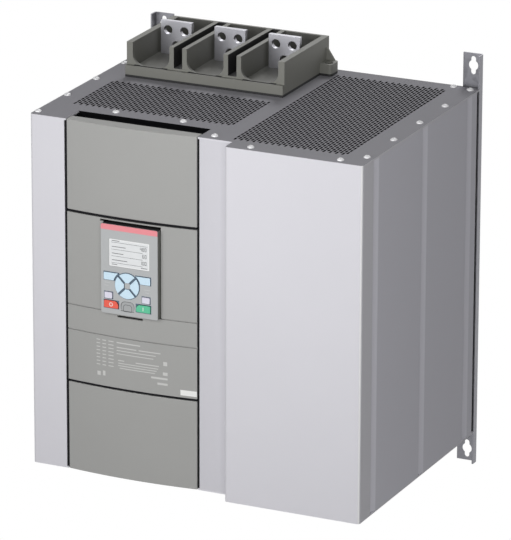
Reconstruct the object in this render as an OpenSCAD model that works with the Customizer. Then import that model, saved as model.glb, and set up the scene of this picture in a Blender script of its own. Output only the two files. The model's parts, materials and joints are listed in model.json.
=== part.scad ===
// Wall-mounted soft starter in a folded sheet casing.
// The origin is the centre of the four wall holes, on the wall. Millimetres.
// +Z is up, and the front faces -Y.

/* [Casing] */
// Width of the casing
case_w = 435; // [428:1:450]
// Height of the casing
case_h = 434; // [426:1:450]
// Depth from the wall to the front of the left module
module_d = 332; // [328:1:345]
// How far the right box stands proud of the left module
box_step = 21; // [16:1:28]
// Width of the right box
box_w = 173; // [168:1:180]
// Width of the left front strip
strip_w = 45; // [42:1:50]
// Width of the front post between the covers and the right box
post_w = 42; // [38:1:46]
// Thickness of the casing sheet
sheet = 2; // [1.5:0.25:2.5]
// Outer radius of the vertical bends
bend_r = 4; // [3:0.5:6]
// Width of the screw flanges inside the casing
flange_w = 18; // [16:1:22]
// Depth of the back pan
pan_d = 32; // [26:1:33]
// How far the side panels stop short of the wall
side_gap = 20; // [16:1:22]
// How far the top and bottom plates stop short of the wall
plate_gap = 9; // [7:1:11]

/* [Right side joggles] */
// How far the right box front wraps round the side
lap_d = 31; // [26:1:36]
// Step of each joggle in the right side
joggle = 1.8; // [1:0.2:2.4]
// Length of each joggle's slanted face
joggle_run = 15; // [12:1:18]
// Depth of the middle joggle behind the box front
joggle_mid = 171; // [150:1:190]
// Depth of the rear joggle behind the box front
joggle_rear = 303; // [280:1:310]

/* [Wall rails] */
// Length of a rail
rail_l = 515; // [500:1:540]
// Width of a rail's wall face
rail_w = 26; // [24:1:30]
// Depth of a rail's outer leg
rail_leg = 13; // [10:1:15]
// Height between the upper and lower wall holes
hole_rise = 485; // [475:1:490]
// Width of a keyhole's slot
slot_w = 6.5; // [5.5:0.5:7.5]
// Length of a keyhole's slot
slot_l = 22.5; // [20:0.5:26]
// Diameter of a keyhole's round middle
key_d = 12.5; // [11:0.5:14]

/* [Top and bottom plates] */
// Depth of the recess over the covers
recess_d = 35; // [32:1:40]
// Height of the lip that hangs into the recess
recess_lip = 3; // [2:0.5:5]
// Width of a punched hole
punch = 6; // [5:0.5:7]
// Length of a punched hole
punch_l = 14; // [12:0.5:15]
// Pitch of the punched holes along a row
punch_pitch = 16; // [15:0.5:18]
// Distance between the rows of punched holes
punch_row = 9.5; // [9:0.5:12]
// Width of an air slot in the bottom plate
air_slot = 6; // [5:0.5:8]
// Diameter of a casing screw's shank
screw_d = 4; // [3.5:0.5:4.5]
// Diameter of a casing screw's head
screw_head = 8.4; // [7.5:0.2:9]

/* [Front covers] */
// Height of the upper and lower covers
end_cover_h = 111.5; // [106:0.5:116]
// How far the covers bulge forward
bulge = 5.2; // [3:0.1:8]
// Depth of a cover's sides behind the module's front
cover_d = 14; // [13:0.5:17]
// Wall of a cover
cover_t = 3; // [2.5:0.5:4]
// Gap between neighbouring covers and beside them
cover_gap = 3.2; // [2:0.1:3.6]
// Thickness of the black frame behind the covers
frame_t = 3; // [2.5:0.5:4]
// Depth of the finger recess above the upper cover
finger_deep = 25; // [20:1:30]

/* [Keypad] */
// Width of the keypad
pad_w = 73.5; // [72:0.5:78]
// Height of the keypad
pad_h = 109.5; // [107:0.5:112]
// How far the keypad stands proud of the module's front
pad_proud = 11.5; // [10:0.5:16]
// Distance of the keypad's left edge from the covers' left edge
pad_in = 52.9; // [50:0.1:60]
// Distance of the keypad's top below the seam of the upper cover
pad_drop = 5.8; // [5.2:0.2:9]
// Height of the open slot above the keypad
slot_above = 2.6; // [2:0.2:3]
// Gap round the keypad in the middle cover
pad_gap = 0.8; // [0.5:0.1:1.2]
// Wall of the keypad's shells
pad_wall = 2; // [1.6:0.2:2.4]
// Thickness of the keypad's face
face_t = 2.4; // [2:0.2:3]
// Travel of a key
key_travel = 0.8; // [0.5:0.1:1]
// How far the keys stand proud of the face
key_proud = 1.2; // [1.1:0.1:1.6]
// Gap round a key
key_gap = 0.4; // [0.3:0.05:0.5]
// Radius of the ring of direction keys
nav_r = 15.6; // [14.5:0.1:16]
// Radius of the hub inside the direction keys
hub_r = 4; // [3:0.2:5]
// Width of the bars between the direction keys
nav_split = 2.6; // [2.4:0.1:3]

/* [Terminals] */
// Distance between neighbouring phases
phase_pitch = 71.5; // [70:0.5:76]
// Sideways offset of the power section from the covers' centre
power_shift = 3; // [0:0.5:6]
// Width of a shroud pocket
pocket_w = 48.5; // [46:0.5:50]
// Wall between a pocket and the slot beside it
pocket_wall = 6; // [5:0.5:7]
// Outer wall of a shroud
shroud_wall = 8; // [7:0.5:9]
// Depth of a shroud
shroud_d = 132; // [128:1:140]
// Height of a shroud
shroud_h = 42.5; // [40:0.5:46]
// Height of a shroud's plinth
plinth_h = 14.5; // [13:0.5:17]
// Distance from the wall to the back of a shroud
shroud_back = 14; // [12:1:18]
// Width of a busbar
bar_w = 41; // [38:0.5:43]
// Thickness of a busbar
bar_t = 6; // [5:0.5:8]
// Distance from the wall to the back of the busbars
bar_back = 67; // [64:1:72]
// How far a busbar stands above its shroud
bar_over = 11; // [8:0.5:14]
// Diameter of the circle of a busbar's holes
bolt_circle = 25; // [24:0.5:26]
// Diameter of a busbar's holes
bolt_d = 11; // [9:0.5:12]

/* [Power section] */
// Width of a heat sink
sink_w = 66; // [60:1:68]
// Height of a heat sink
sink_h = 240; // [220:1:250]
// Depth of a heat sink's fins
fin_d = 108; // [95:1:110]
// Thickness of a fin
fin_t = 2.4; // [2:0.2:3]
// Number of fins on a heat sink
fins = 9; // [7:1:11]
// Thickness of a heat sink's base
sink_base = 12; // [10:1:14]
// Distance from the wall to the back of the heat sinks
sink_back = 165; // [160:1:172]
// Height of a thyristor block
block_h = 120; // [110:1:130]
// Width of a cooling fan
fan_w = 92; // [88:1:95]
// Height of a cooling fan
fan_h = 38; // [32:1:40]
// Number of blades on a fan rotor
blades = 7; // [5:1:9]
// Width of the bypass contactor
contactor_w = 140; // [130:1:145]
// Height of the bypass contactor
contactor_h = 170; // [160:1:180]
// Depth of the bypass contactor
contactor_d = 110; // [105:1:120]
// Travel of the contactor's armature
armature_travel = 7; // [5:0.5:8]

/* [Hidden] */
$fn = 48;

// Colours
silver = "#d6d5db";
dark_silver = "#8a898f";
cover_grey = "#a0a09d";
frame_black = "#18181a";
pad_grey = "#b4b6b6";
key_blue = "#cfe6f6";
copper = "#c9c9cc";

// Planes of the casing
x_left = -case_w / 2;
x_right = case_w / 2;
z_top = case_h / 2;
y_front = -module_d;
y_box = y_front - box_step;
cover_x0 = x_left + strip_w;
box_x0 = x_right - box_w;
cover_x1 = box_x0 - post_w;
cover_cx = (cover_x0 + cover_x1) / 2;
// Height at which the panels stop under the plates, and the underside of their flanges
z_panel = z_top - sheet;
z_flange = z_panel - sheet;
y_pan = -sheet;
partition_x = box_x0 + sheet;

// Clearances
seat_gap = 0.3;
bore_gap = 0.25;
hair = 0.5;

// Screws along the edges of the top plate, and mirrored on the bottom plate
screw_inset = 12;
rear_row = 20;
edge_left = 5;
edge_right = 9;
screw_rows = 5;
frame_screw_in = 48;
frame_screw_x = 43.75;
box_screw_in = 10.5;
box_screw_x = 28.5;
rear_screw_x = 32;
rear_screw_in = 7;
side_screw_y = [for (i = [0:screw_rows - 1])
    y_front + screw_inset + i * (module_d - screw_inset - rear_row) / (screw_rows - 1)];
screw_spots = concat(
    [for (y = side_screw_y) [x_left + edge_left, y]],
    [for (y = side_screw_y) [x_right - edge_right, y]],
    [[cover_x1 + post_w / 3, y_front + screw_inset]],
    [for (s = [-1, 1]) [cover_cx + s * frame_screw_x, y_front + frame_screw_in]],
    [for (x = [box_x0 + box_screw_x, x_right - rear_screw_x]) [x, y_box + box_screw_in]],
    [[x_right - rear_screw_x, -plate_gap - rear_screw_in]]
);
screw_dome = 3;
screw_rim = 1;
screw_l = 2 * sheet + 3;

// Edges of the punched fields; the right one is set from the box, the front, the right side and the rear edge
grille_side = 18;
grille_front = 58;
box_grille = [4, 10, 33, 20];
// Share of a fan's width that an air slot takes
slot_share = 0.8;

// Front covers
cover_half = (cover_x1 - cover_x0) / 2 - cover_gap;
cover_r = (pow(cover_half, 2) + pow(bulge, 2)) / (2 * bulge);
cover_y = y_front - bulge + cover_r;
frame_y = y_front + cover_d;
seam_z = z_top - end_cover_h;
frame_back = frame_y + frame_t;
gutter_y = y_front + recess_d + sheet;
gutter_z = z_top - finger_deep;
gutter_flange = 20;
// Width and depth of a groove across the middle cover
groove = [1.4, 1.8];
// Black lips and ribs that close the gaps round the covers
lip_in = 1;
lip_air = 0.4;
rib_in = 0.8;
// Reach of the slot above the keypad past its left side, and offset of the thumb slot
slot_side = 4.8;
thumb_off = -2.5;

// Keypad
pad_x = cover_x0 + pad_in;
pad_z = seam_z - pad_drop;
face_y = y_front - pad_proud;
face_back = face_y + face_t;
pad_r = 2;
board_t = 1.6;
board_deep = 7.4;
board_y = face_back + board_deep;
seam_deep = 3;
shell_seam = board_y + board_t + seam_deep;
collar = 0.7;
collar_t = 1;
stem = 4;
nav_u = 34.2;
nav_v = 72.8;
nav_stem = 10;
// Keys in mirrored pairs: reach from the middle, width, top and height
soft_key = [30.2, 19, 58.8, 9];
small_key = [29.4, 10, 83.2, 7.6];
run_key = [30.2, 18.6, 93.4, 9];
soft_stem = 5;
key_r = 1;
run_r = 1.5;
run_round = 5.5;
soft_gap = 2.4;
stripe_h = 6.6;
stripe_t = 0.8;
lcd = [10.4, 17.4, 62.8, 50.8];
lcd_rim = 2;
pane_deep = 0.4;
flap = [26.2, 92.8, 42.6, 104.2];
flap_r = 5;
flap_t = 1.8;
flap_pin = 0.6;
flap_pin_l = 1.2;
flap_axis = [face_y + flap_t / 2, pad_z - flap[3] + flap_t / 2];

// Terminals
phase_x = [for (i = [-1:1]) cover_cx + power_shift + i * phase_pitch];
shroud_y = -shroud_back - shroud_d;
shroud_half = phase_pitch + pocket_w / 2 + shroud_wall;
ledge = 4.5;
ledge_slit = 3;
ledge_slit_l = 44;
ledge_slit_d = 6;
front_wall = 4;
rear_wall = 4;
floor_z = 12;
pocket_r = 13;
gap_floor = 2.5;
ear = [15.3, 21.7];
ear_in = 5;
ear_hole = 5;
ear_sink = [10, 5];
ear_r = 4;
ear_hole_at = [9, 8.5];
gusset_t = 3;
gusset_h = 18;
gusset_w = 12;
bar_y = -bar_back - bar_t;
bar_top = z_top + shroud_h + bar_over;
bolt_edge = 11.4;
bolt_z = bar_top - bolt_edge - bolt_circle / 4;
// Room round a busbar in the plates
bar_clear = [4, 6];

// Power section
sink_y = -sink_back;
block_d = 38;
block_w = 60;
block_base = 3;
pad_rise = 6;
contact_pad = [40, 25];
contact_z = 34;
foot_bolt = 8;
bolt_head = [13, 5.3];
bolt_l = 16;
block_screw = 5.5;
barrier = [5, 8];
foot_y = sink_y + block_d + pad_rise;
jog_over = 20;
bar_bend = 5;
jog_z = block_h / 2 + jog_over;
frame_bar = [4, 15];
tab_d = 24;
ct = [62, 30, 30];
ct_r = 6;
ct_gap = 6;
fan_cy = sink_y - (sink_base + fin_d) / 2;
fan_gap = 8;
fan_cx = [for (s = [-1, 1]) cover_cx + power_shift + s * (fan_w + fan_gap) / 2];
fan_z = -z_panel;
fan_r = 6;
fan_screw = 4.5;
fan_screw_in = 5.5;
flare = 3;
fan_wall = 2;
fan_bore = fan_w / 2 - fan_wall;
fan_hub = 20;
tip_gap = 1.6;
shaft_r = 2.5;
shaft_gap = 0.08;
motor_h = 5;
strut_w = 6;
hub_in = 3;
hub_h = fan_h - motor_h - hub_in;
blade_t = 2;
blade_in = 2;
camber_r = 34;
chord = 34;

// Bypass contactor and its links
contactor_x = (box_x0 + x_right) / 2;
contactor_y = y_pan - sheet;
pole_pitch = 50;
link = [6, 14];
link_step = 20;
link_over = 14;
link_z = contactor_h / 2 + link_over;
ct_z = -(link_z + 2 * link_step + link[1] / 2 + ct_gap + ct[2] / 2);
link_offset = 12;
link_back = bar_back - link_offset;
link_air = 5;
tab_w = 20;
cavity = [101, 91];
armature = [100.2, 90.2, 14];
armature_in = 2;
bay = [30, 16, 40];
lug = [16, 14, 4];
lug_hole = 6;
bobbin = [3, 3];
coil_w = 60;
cavity_d = 50;
coil_gap = 3;
coil = [coil_w, coil_w, cavity_d - armature_in - armature[2] - armature_travel - coil_gap];

// Boards
board_side = 12.5;
control_pcb = [cover_x1 - cover_x0 - 2 * board_side, 180];
cable_window = 40;
standoff = 8;
standoff_d = 6;
control_z = -30;
strip_side = 17.5;
strip = [cover_x1 - cover_x0 - 2 * strip_side, 20, 10];
ways = 20;
way_hole = 4;
way_screw = 3.4;
// Each chip on the control board: its centre, width, height and thickness
chips = [
    [-50, 40, 30, 40, 14], [10, 45, 44, 30, 8], [-45, -30, 24, 24, 12], [0, -40, 24, 24, 12],
    [40, -30, 20, 44, 13]
];

// Rounded rectangle with its lower left corner at the origin; r lists its corners anticlockwise from there
module rounded(w, h, r) {
    at = [[0, 0], [w, 0], [w, h], [0, h]];
    toward = [[1, 1], [-1, 1], [-1, -1], [1, -1]];
    difference() {
        square([w, h]);
        for (i = [0:3]) translate(at[i]) corner_waste(toward[i], r[i]);
    }
}

// The waste outside a rounded corner, turned to point along t
module corner_waste(t, r) {
    turn = t == [1, 1] ? 0 : t == [-1, 1] ? 90 : t == [-1, -1] ? 180 : 270;
    rotate(turn) difference() {
        translate([-1, -1]) square(r + 1);
        translate([r, r]) circle(r);
    }
}

// Section of a folded sheet: legs along +x and +y, outer corner at the origin
module corner_sheet(along_x, along_y) {
    translate([bend_r, 0]) square([along_x - bend_r, sheet]);
    translate([0, bend_r]) square([sheet, along_y - bend_r]);
    intersection() {
        translate([bend_r, bend_r]) difference() {
            circle(bend_r);
            circle(bend_r - sheet);
        }
        square(bend_r);
    }
}

module rise(z0, z1) {
    translate([0, 0, z0]) linear_extrude(z1 - z0) children();
}

module block(low, high) {
    translate(low) cube(high - low);
}

// The same thing above and below the middle of the casing
module both_ends() {
    children();
    mirror([0, 0, 1]) children();
}

module screw_bores() {
    both_ends() for (p = screw_spots)
        translate([p[0], p[1], z_top - screw_l - hair])
            cylinder(d = screw_d + 2 * bore_gap, h = screw_l + 2 * hair);
}

// Casing sheets

module left_side_panel() {
    color(silver) difference() {
        union() {
            rise(-z_panel, z_panel) translate([x_left, y_front]) {
                corner_sheet(strip_w, module_d - side_gap);
                translate([strip_w - sheet, 0]) square([sheet, flange_w]);
            }
            both_ends() block([x_left + sheet, y_front + sheet, z_flange],
                [x_left + sheet + flange_w, -pan_d - 2 * sheet, z_panel]);
        }
        screw_bores();
    }
}

module front_post() {
    color(silver) difference() {
        union() {
            rise(-z_panel, z_panel) {
                translate([cover_x1, y_front]) square([post_w, sheet]);
                for (x = [cover_x1, box_x0 - sheet]) translate([x, y_front]) square([sheet, flange_w]);
            }
            both_ends() block([cover_x1, y_front, z_flange], [box_x0, y_front + flange_w, z_panel]);
        }
        screw_bores();
    }
}

module right_box_front() {
    color(silver) difference() {
        union() {
            rise(-z_panel, z_panel) {
                translate([box_x0, y_box]) corner_sheet(box_w / 2, box_step + flange_w);
                translate([x_right, y_box]) mirror([1, 0]) corner_sheet(box_w / 2, lap_d);
            }
            both_ends() block([box_x0 + sheet, y_box + sheet, z_flange],
                [x_right - sheet, y_box + flange_w, z_panel]);
        }
        screw_bores();
    }
}

// Outer line of the right side in plan, from the tucked front edge to the rear edge
side_line = concat(
    [[x_right - sheet, y_box + flange_w + sheet], [x_right - sheet, y_box + lap_d],
        [x_right, y_box + lap_d + joggle_run]],
    [for (d = [joggle_mid, joggle_rear], p = [[0, 0], [-joggle, joggle], [0, joggle_run]])
        [x_right + p[0], y_box + d + p[1]]],
    [[x_right, -side_gap]]
);

module right_side_panel() {
    color(dark_silver) difference() {
        union() {
            rise(-z_panel, z_panel) polygon(concat(side_line,
                [for (i = [len(side_line) - 1:-1:0]) side_line[i] - [sheet, 0]]));
            both_ends() block([x_right - sheet - flange_w, y_box + flange_w + sheet, z_flange],
                [x_right - sheet, -pan_d - 2 * sheet, z_panel]);
        }
        screw_bores();
    }
}

// Outline of the top and bottom plates in plan
module plate_outline() {
    difference() {
        union() {
            translate([x_left, y_front]) rounded(case_w, module_d - plate_gap, [bend_r, 0, 0, 0]);
            translate([box_x0, y_box]) rounded(box_w, box_step + 2 * bend_r, [bend_r, bend_r, 0, 0]);
        }
        translate([cover_x0 + sheet, y_front - hair])
            square([cover_x1 - cover_x0 - 2 * sheet, recess_d + hair]);
        for (x = phase_x) translate([x - bar_w / 2 - bar_clear[0], bar_y - bar_clear[1]])
            square([bar_w, bar_t] + 2 * bar_clear);
        for (s = [-1, 1]) translate([s * x_right, -plate_gap])
            square(2 * [sheet, rail_leg - plate_gap], center = true);
    }
}

// Staggered field of slots between two corners
module punched(low, high) {
    rows = floor((high[1] - low[1] - punch_l) / punch_row);
    columns = floor((high[0] - low[0] - punch) / punch_pitch);
    for (r = [0:rows], c = [0:columns - r % 2])
        translate([low[0] + (c + (r % 2) / 2) * punch_pitch, low[1] + r * punch_row])
            square([punch, punch_l]);
}

module recess_lips() {
    block([cover_x0 + sheet, y_front + recess_d, z_panel - recess_lip],
        [cover_x1 - sheet, y_front + recess_d + sheet, z_top]);
}

grille_left = [
    [cover_x0 - grille_side, y_front + grille_front], [cover_x1 + grille_side, shroud_y - grille_side]
];
grille_right = [
    [box_x0 - box_grille[0], y_front + box_grille[1]], [x_right - box_grille[2], -plate_gap - box_grille[3]]
];

module top_plate() {
    color(dark_silver) difference() {
        union() {
            rise(z_panel, z_top) difference() {
                plate_outline();
                punched(grille_left[0], grille_left[1]);
                punched(grille_right[0], grille_right[1]);
            }
            recess_lips();
        }
        screw_bores();
    }
}

// The bottom plate lets air in under each fan and under the right box
module bottom_plate() {
    slot_pitch = 2 * air_slot;
    color(dark_silver) difference() {
        union() {
            rise(-z_top, -z_panel) difference() {
                plate_outline();
                for (x = fan_cx, i = [-3:3]) translate([x + i * slot_pitch, fan_cy])
                    obround(air_slot, fan_w * slot_share);
                for (i = [-5:5]) translate([contactor_x + i * slot_pitch, y_front / 2])
                    obround(air_slot, module_d / 2);
            }
            mirror([0, 0, 1]) recess_lips();
        }
        screw_bores();
    }
}

// Pan with bent sides and welded ends; the rails lie against its back
module back_pan() {
    x = case_w / 2 - sheet;
    inner_r = bend_r - sheet;
    color(dark_silver) difference() {
        rise(-z_panel, z_panel) translate([-x, y_pan - pan_d])
            rounded(2 * x, pan_d, [0, 0, bend_r, bend_r]);
        rise(-z_flange, z_flange) translate([sheet - x, y_pan - pan_d - hair])
            rounded(2 * (x - sheet), pan_d + hair - sheet, [0, 0, inner_r, inner_r]);
        screw_bores();
    }
}

// Wall between the left module and the right box, with a window at each end for the bypass links
module partition_plate() {
    color(dark_silver) difference() {
        block([partition_x, y_front + sheet, -z_flange], [partition_x + sheet, y_pan - sheet, z_flange]);
        both_ends() block([partition_x - hair, -link_back - link[0] - link_air, link_z - link[1]],
            [partition_x + sheet + hair, -link_back + link_air, link_z + 2 * link_step + link[1]]);
    }
}

// Slot with round ends, upright and centred
module obround(w, l) {
    square([w, l - w], center = true);
    for (s = [-1, 1]) translate([0, s * (l - w) / 2]) circle(d = w);
}

// Slot with a round middle, for hanging on two screw heads
module keyhole() {
    obround(slot_w, slot_l);
    circle(d = key_d);
}

module rail() {
    difference() {
        rise(-rail_l / 2, rail_l / 2) translate([x_right, 0]) rotate(180) corner_sheet(rail_w, rail_leg);
        for (s = [-1, 1]) translate([x_right - rail_w / 2, hair, s * hole_rise / 2])
            rotate([90, 0, 0]) linear_extrude(sheet + 2 * hair) keyhole();
    }
}

module right_rail() {
    color(dark_silver) rail();
}

module left_rail() {
    color(dark_silver) mirror([1, 0, 0]) rail();
}

// Pan head with its shank, the head seated at z = 0
module pan_screw() {
    rotate_extrude() intersection() {
        union() {
            translate([0, -screw_l]) square([screw_d / 2, screw_l + hair]);
            translate([0, screw_dome - screw_head]) circle(r = screw_head);
            square([screw_head / 2, screw_rim]);
        }
        union() {
            translate([0, -screw_l]) square([screw_d / 2, screw_l + hair]);
            square([screw_head / 2, screw_dome]);
        }
    }
}

module casing_screws() {
    color("#e8e8ea") both_ends() for (p = screw_spots) translate([p[0], p[1], z_top]) pan_screw();
}

// Front covers and the frame behind them

// Plan of a cover's outside, inset by the given wall
module cover_plan(inset) {
    intersection() {
        translate([cover_cx, cover_y]) circle(cover_r - inset, $fn = 180);
        translate([cover_cx - cover_half + inset, y_front - bulge])
            square([2 * (cover_half - inset), bulge + cover_d + inset]);
    }
}

module cover_shell(z0, z1) {
    difference() {
        intersection() {
            rise(z0, z1) cover_plan(0);
            block([cover_x0, y_front - bulge - hair, z0], [cover_x1, frame_y, z1]);
        }
        rise(z0 + cover_t, z1 - cover_t) cover_plan(cover_t);
    }
}

module upper_cover() {
    color(cover_grey) cover_shell(seam_z + cover_gap / 2, z_top);
}

module lower_cover() {
    color(cover_grey) cover_shell(-z_top, -seam_z - cover_gap / 2);
}

// Shallow groove across the face of a cover
module face_groove(z) {
    rise(z - groove[0] / 2, z + groove[0] / 2) difference() {
        translate([cover_x0, y_front - bulge - hair]) square([cover_x1 - cover_x0, bulge + 2 * groove[1]]);
        translate([cover_cx, cover_y]) circle(cover_r - groove[1], $fn = 180);
    }
}

module middle_cover() {
    thumb = [33, 2.6];
    groove_fall = 31;
    pad_z0 = pad_z - pad_h;
    thumb_x = pad_x + pad_w / 2 + thumb_off;
    color(cover_grey) difference() {
        cover_shell(-seam_z + cover_gap / 2, seam_z - cover_gap / 2);
        block([pad_x - pad_gap, y_front - bulge - hair, pad_z0 - pad_gap],
            [pad_x + pad_w + pad_gap, frame_y - hair, pad_z + slot_above]);
        block([pad_x - slot_side, y_front - bulge - hair, pad_z],
            [pad_x, frame_y - hair, pad_z + slot_above]);
        block([thumb_x - thumb[0] / 2, y_front - bulge - hair, pad_z0 - pad_gap - 2 * thumb[1]],
            [thumb_x + thumb[0] / 2, y_front, pad_z0 - pad_gap - thumb[1]]);
        face_groove(pad_z0);
        face_groove(pad_z0 - groove_fall);
    }
}

// Rib in the gap between two covers, a little behind their faces
module seam_rib(z) {
    half = cover_gap / 2 - lip_air;
    rise(z - half, z + half) intersection() {
        cover_plan(rib_in);
        translate([cover_x0, y_front - bulge]) square([cover_x1 - cover_x0, bulge + frame_back - y_front]);
    }
}

module cover_frame() {
    window_z = control_z - control_pcb[1] / 2 - standoff_d;
    lip = cover_gap - lip_air;
    color(frame_black) difference() {
        union() {
            block([cover_x0, frame_y, -gutter_z - frame_t], [cover_x1, frame_back, gutter_z + frame_t]);
            for (x = [cover_x0, cover_x1 - lip])
                block([x, y_front + lip_in, -z_panel], [x + lip, frame_back, z_panel]);
            for (s = [-1, 1]) seam_rib(s * seam_z);
            both_ends() {
                block([cover_x0, frame_y, gutter_z - frame_t], [cover_x1, gutter_y + frame_t, gutter_z]);
                block([cover_x0, gutter_y, gutter_z - frame_t], [cover_x1, gutter_y + frame_t, z_panel]);
                block([cover_x0, gutter_y, z_panel - frame_t], [cover_x1, gutter_y + gutter_flange, z_panel]);
            }
            for (sx = [-1, 1], sz = [-1, 1])
                translate([cover_cx + sx * (control_pcb[0] / 2 - standoff_d), frame_back - hair,
                    control_z + sz * (control_pcb[1] / 2 - standoff_d)])
                    rotate([-90, 0, 0]) cylinder(d = standoff_d, h = standoff + hair);
        }
        block([cover_cx - control_pcb[0] / 2, frame_y - hair, window_z - cable_window],
            [cover_cx + control_pcb[0] / 2, frame_back + hair, window_z]);
        screw_bores();
    }
}

// Keypad. Its drawings use u to the right and v down from its top left corner.

module on_pad(y0, y1) {
    translate([pad_x, y1, pad_z]) rotate([90, 0, 0]) linear_extrude(y1 - y0) children();
}

// Rectangle from corners (u0, v0) and (u1, v1), grown by g, with corner radii from the lower left
module pad_rect(c, r, g = 0) {
    translate([c[0] - g, -c[3] - g]) rounded(c[2] - c[0] + 2 * g, c[3] - c[1] + 2 * g, r);
}

module nav_sector(turn, g) {
    reach = 2 * nav_r;
    tip = (nav_split / 2 - g) * sqrt(2);
    translate([nav_u, -nav_v]) rotate(turn) intersection() {
        difference() {
            circle(nav_r + g);
            circle(hub_r - g);
        }
        polygon([[tip, 0], [tip + reach, reach], [tip + reach, -reach]]);
    }
}

module soft_outline(c, g) {
    difference() {
        pad_rect(c, [key_r, key_r, key_r, key_r], g);
        translate([nav_u, -nav_v]) circle(nav_r + soft_gap - g);
    }
}

// Corners of the left or right key of a pair
function key_box(k, s) = let (u = nav_u + s * (k[0] - k[1] / 2))
    [u - k[1] / 2, k[2], u + k[1] / 2, k[2] + k[3]];

// Outline of a key, grown by g
module key_outline(k, g) {
    if (k == "soft_left") soft_outline(key_box(soft_key, -1), g);
    if (k == "soft_right") soft_outline(key_box(soft_key, 1), g);
    if (k == "right") nav_sector(0, g);
    if (k == "up") nav_sector(90, g);
    if (k == "left") nav_sector(180, g);
    if (k == "down") nav_sector(270, g);
    if (k == "small_left") pad_rect(key_box(small_key, -1), [key_r, key_r, key_r, key_r], g);
    if (k == "small_right") pad_rect(key_box(small_key, 1), [key_r, key_r, key_r, key_r], g);
    if (k == "stop") pad_rect(key_box(run_key, -1), [run_r, run_r, run_round, run_r], g);
    if (k == "start") pad_rect(key_box(run_key, 1), [run_r, run_r, run_r, run_round], g);
}

// Where the stem of each key meets the board
soft_stem_u = soft_key[0] - soft_stem;
small_stem_u = small_key[0] - small_key[1] / 2;
run_stem_u = run_key[0] - run_key[1] / 2;
key_stems = [
    ["soft_left", nav_u - soft_stem_u, soft_key[2] + soft_key[3] / 2],
    ["soft_right", nav_u + soft_stem_u, soft_key[2] + soft_key[3] / 2],
    ["right", nav_u + nav_stem, nav_v], ["up", nav_u, nav_v - nav_stem],
    ["left", nav_u - nav_stem, nav_v], ["down", nav_u, nav_v + nav_stem],
    ["small_left", nav_u - small_stem_u, small_key[2] + small_key[3] / 2],
    ["small_right", nav_u + small_stem_u, small_key[2] + small_key[3] / 2],
    ["stop", nav_u - run_stem_u, run_key[2] + run_key[3] / 2],
    ["start", nav_u + run_stem_u, run_key[2] + run_key[3] / 2]
];

module key(k, tint) {
    spot = [for (s = key_stems) if (s[0] == k) s][0];
    color(tint) {
        on_pad(face_y - key_proud, face_back + seat_gap + hair) key_outline(k, 0);
        on_pad(face_back + seat_gap, face_back + seat_gap + collar_t) key_outline(k, collar);
        on_pad(face_back + seat_gap + hair, board_y - key_travel - seat_gap)
            translate([spot[1], -spot[2]]) square(stem, center = true);
    }
}

module soft_key_left() {
    key("soft_left", key_blue);
}

module soft_key_right() {
    key("soft_right", key_blue);
}

module up_key() {
    key("up", key_blue);
}

module down_key() {
    key("down", key_blue);
}

module left_key() {
    key("left", key_blue);
}

module right_key() {
    key("right", key_blue);
}

module small_key_left() {
    key("small_left", "#e9e6f2");
}

module small_key_right() {
    key("small_right", "#e9e6f2");
}

module stop_key() {
    key("stop", "#d8523f");
}

module start_key() {
    key("start", "#3f9f78");
}

module keypad_housing() {
    whole = [0, 0, pad_w, pad_h];
    corners = [pad_r, pad_r, pad_r, pad_r];
    inner = [pad_wall, pad_wall, pad_w - pad_wall, pad_h - pad_wall];
    color(pad_grey) difference() {
        on_pad(face_y, shell_seam) pad_rect(whole, corners);
        on_pad(face_back, shell_seam + hair) pad_rect(inner, corners - pad_wall * [1, 1, 1, 1]);
        on_pad(face_y - hair, face_back + hair) {
            pad_rect(lcd, [key_r, key_r, key_r, key_r]);
            for (s = key_stems) key_outline(s[0], key_gap);
            pad_rect(flap, [0, 0, flap_r + seat_gap, flap_r + seat_gap], seat_gap);
        }
        on_pad(face_y - hair, face_y + stripe_t / 2) translate([-hair, -stripe_h])
            square([pad_w + 2 * hair, 2 * stripe_h]);
        translate([pad_x + flap[0] - flap_pin_l - seat_gap, flap_axis[0], flap_axis[1]]) rotate([0, 90, 0])
            cylinder(r = flap_pin + shaft_gap, h = flap[2] - flap[0] + 2 * (flap_pin_l + seat_gap));
    }
}

// Coloured strip let into the top of the keypad's face
module keypad_stripe() {
    color("#e0525a") on_pad(face_y - stripe_t / 2, face_y + stripe_t / 2)
        pad_rect([0, 0, pad_w, stripe_h], [0, 0, pad_r, pad_r]);
}

module keypad_rear_shell() {
    rim = pad_wall + seat_gap;
    color("#5c5e5e") difference() {
        union() {
            on_pad(shell_seam, frame_y) pad_rect([0, 0, pad_w, pad_h], [pad_r, pad_r, pad_r, pad_r]);
            on_pad(board_y + board_t, shell_seam + hair)
                pad_rect([rim, rim, pad_w - rim, pad_h - rim], [key_r, key_r, key_r, key_r]);
        }
        on_pad(board_y, frame_y - pad_wall)
            pad_rect([2 * rim, 2 * rim, pad_w - 2 * rim, pad_h - 2 * rim], [key_r, key_r, key_r, key_r]);
    }
}

module keypad_board() {
    rim = pad_wall + seat_gap;
    color("#2f6b43") on_pad(board_y, board_y + board_t)
        pad_rect([rim, rim, pad_w - rim, pad_h - rim], [key_r, key_r, key_r, key_r]);
}

module display_module() {
    color("#3a3d40") on_pad(face_back, board_y) pad_rect(lcd, [key_r, key_r, key_r, key_r], lcd_rim);
}

module display_window() {
    color("#dfe3e2") on_pad(face_y + pane_deep, face_back)
        pad_rect(lcd, [key_r, key_r, key_r, key_r], -seat_gap / 2);
}

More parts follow.
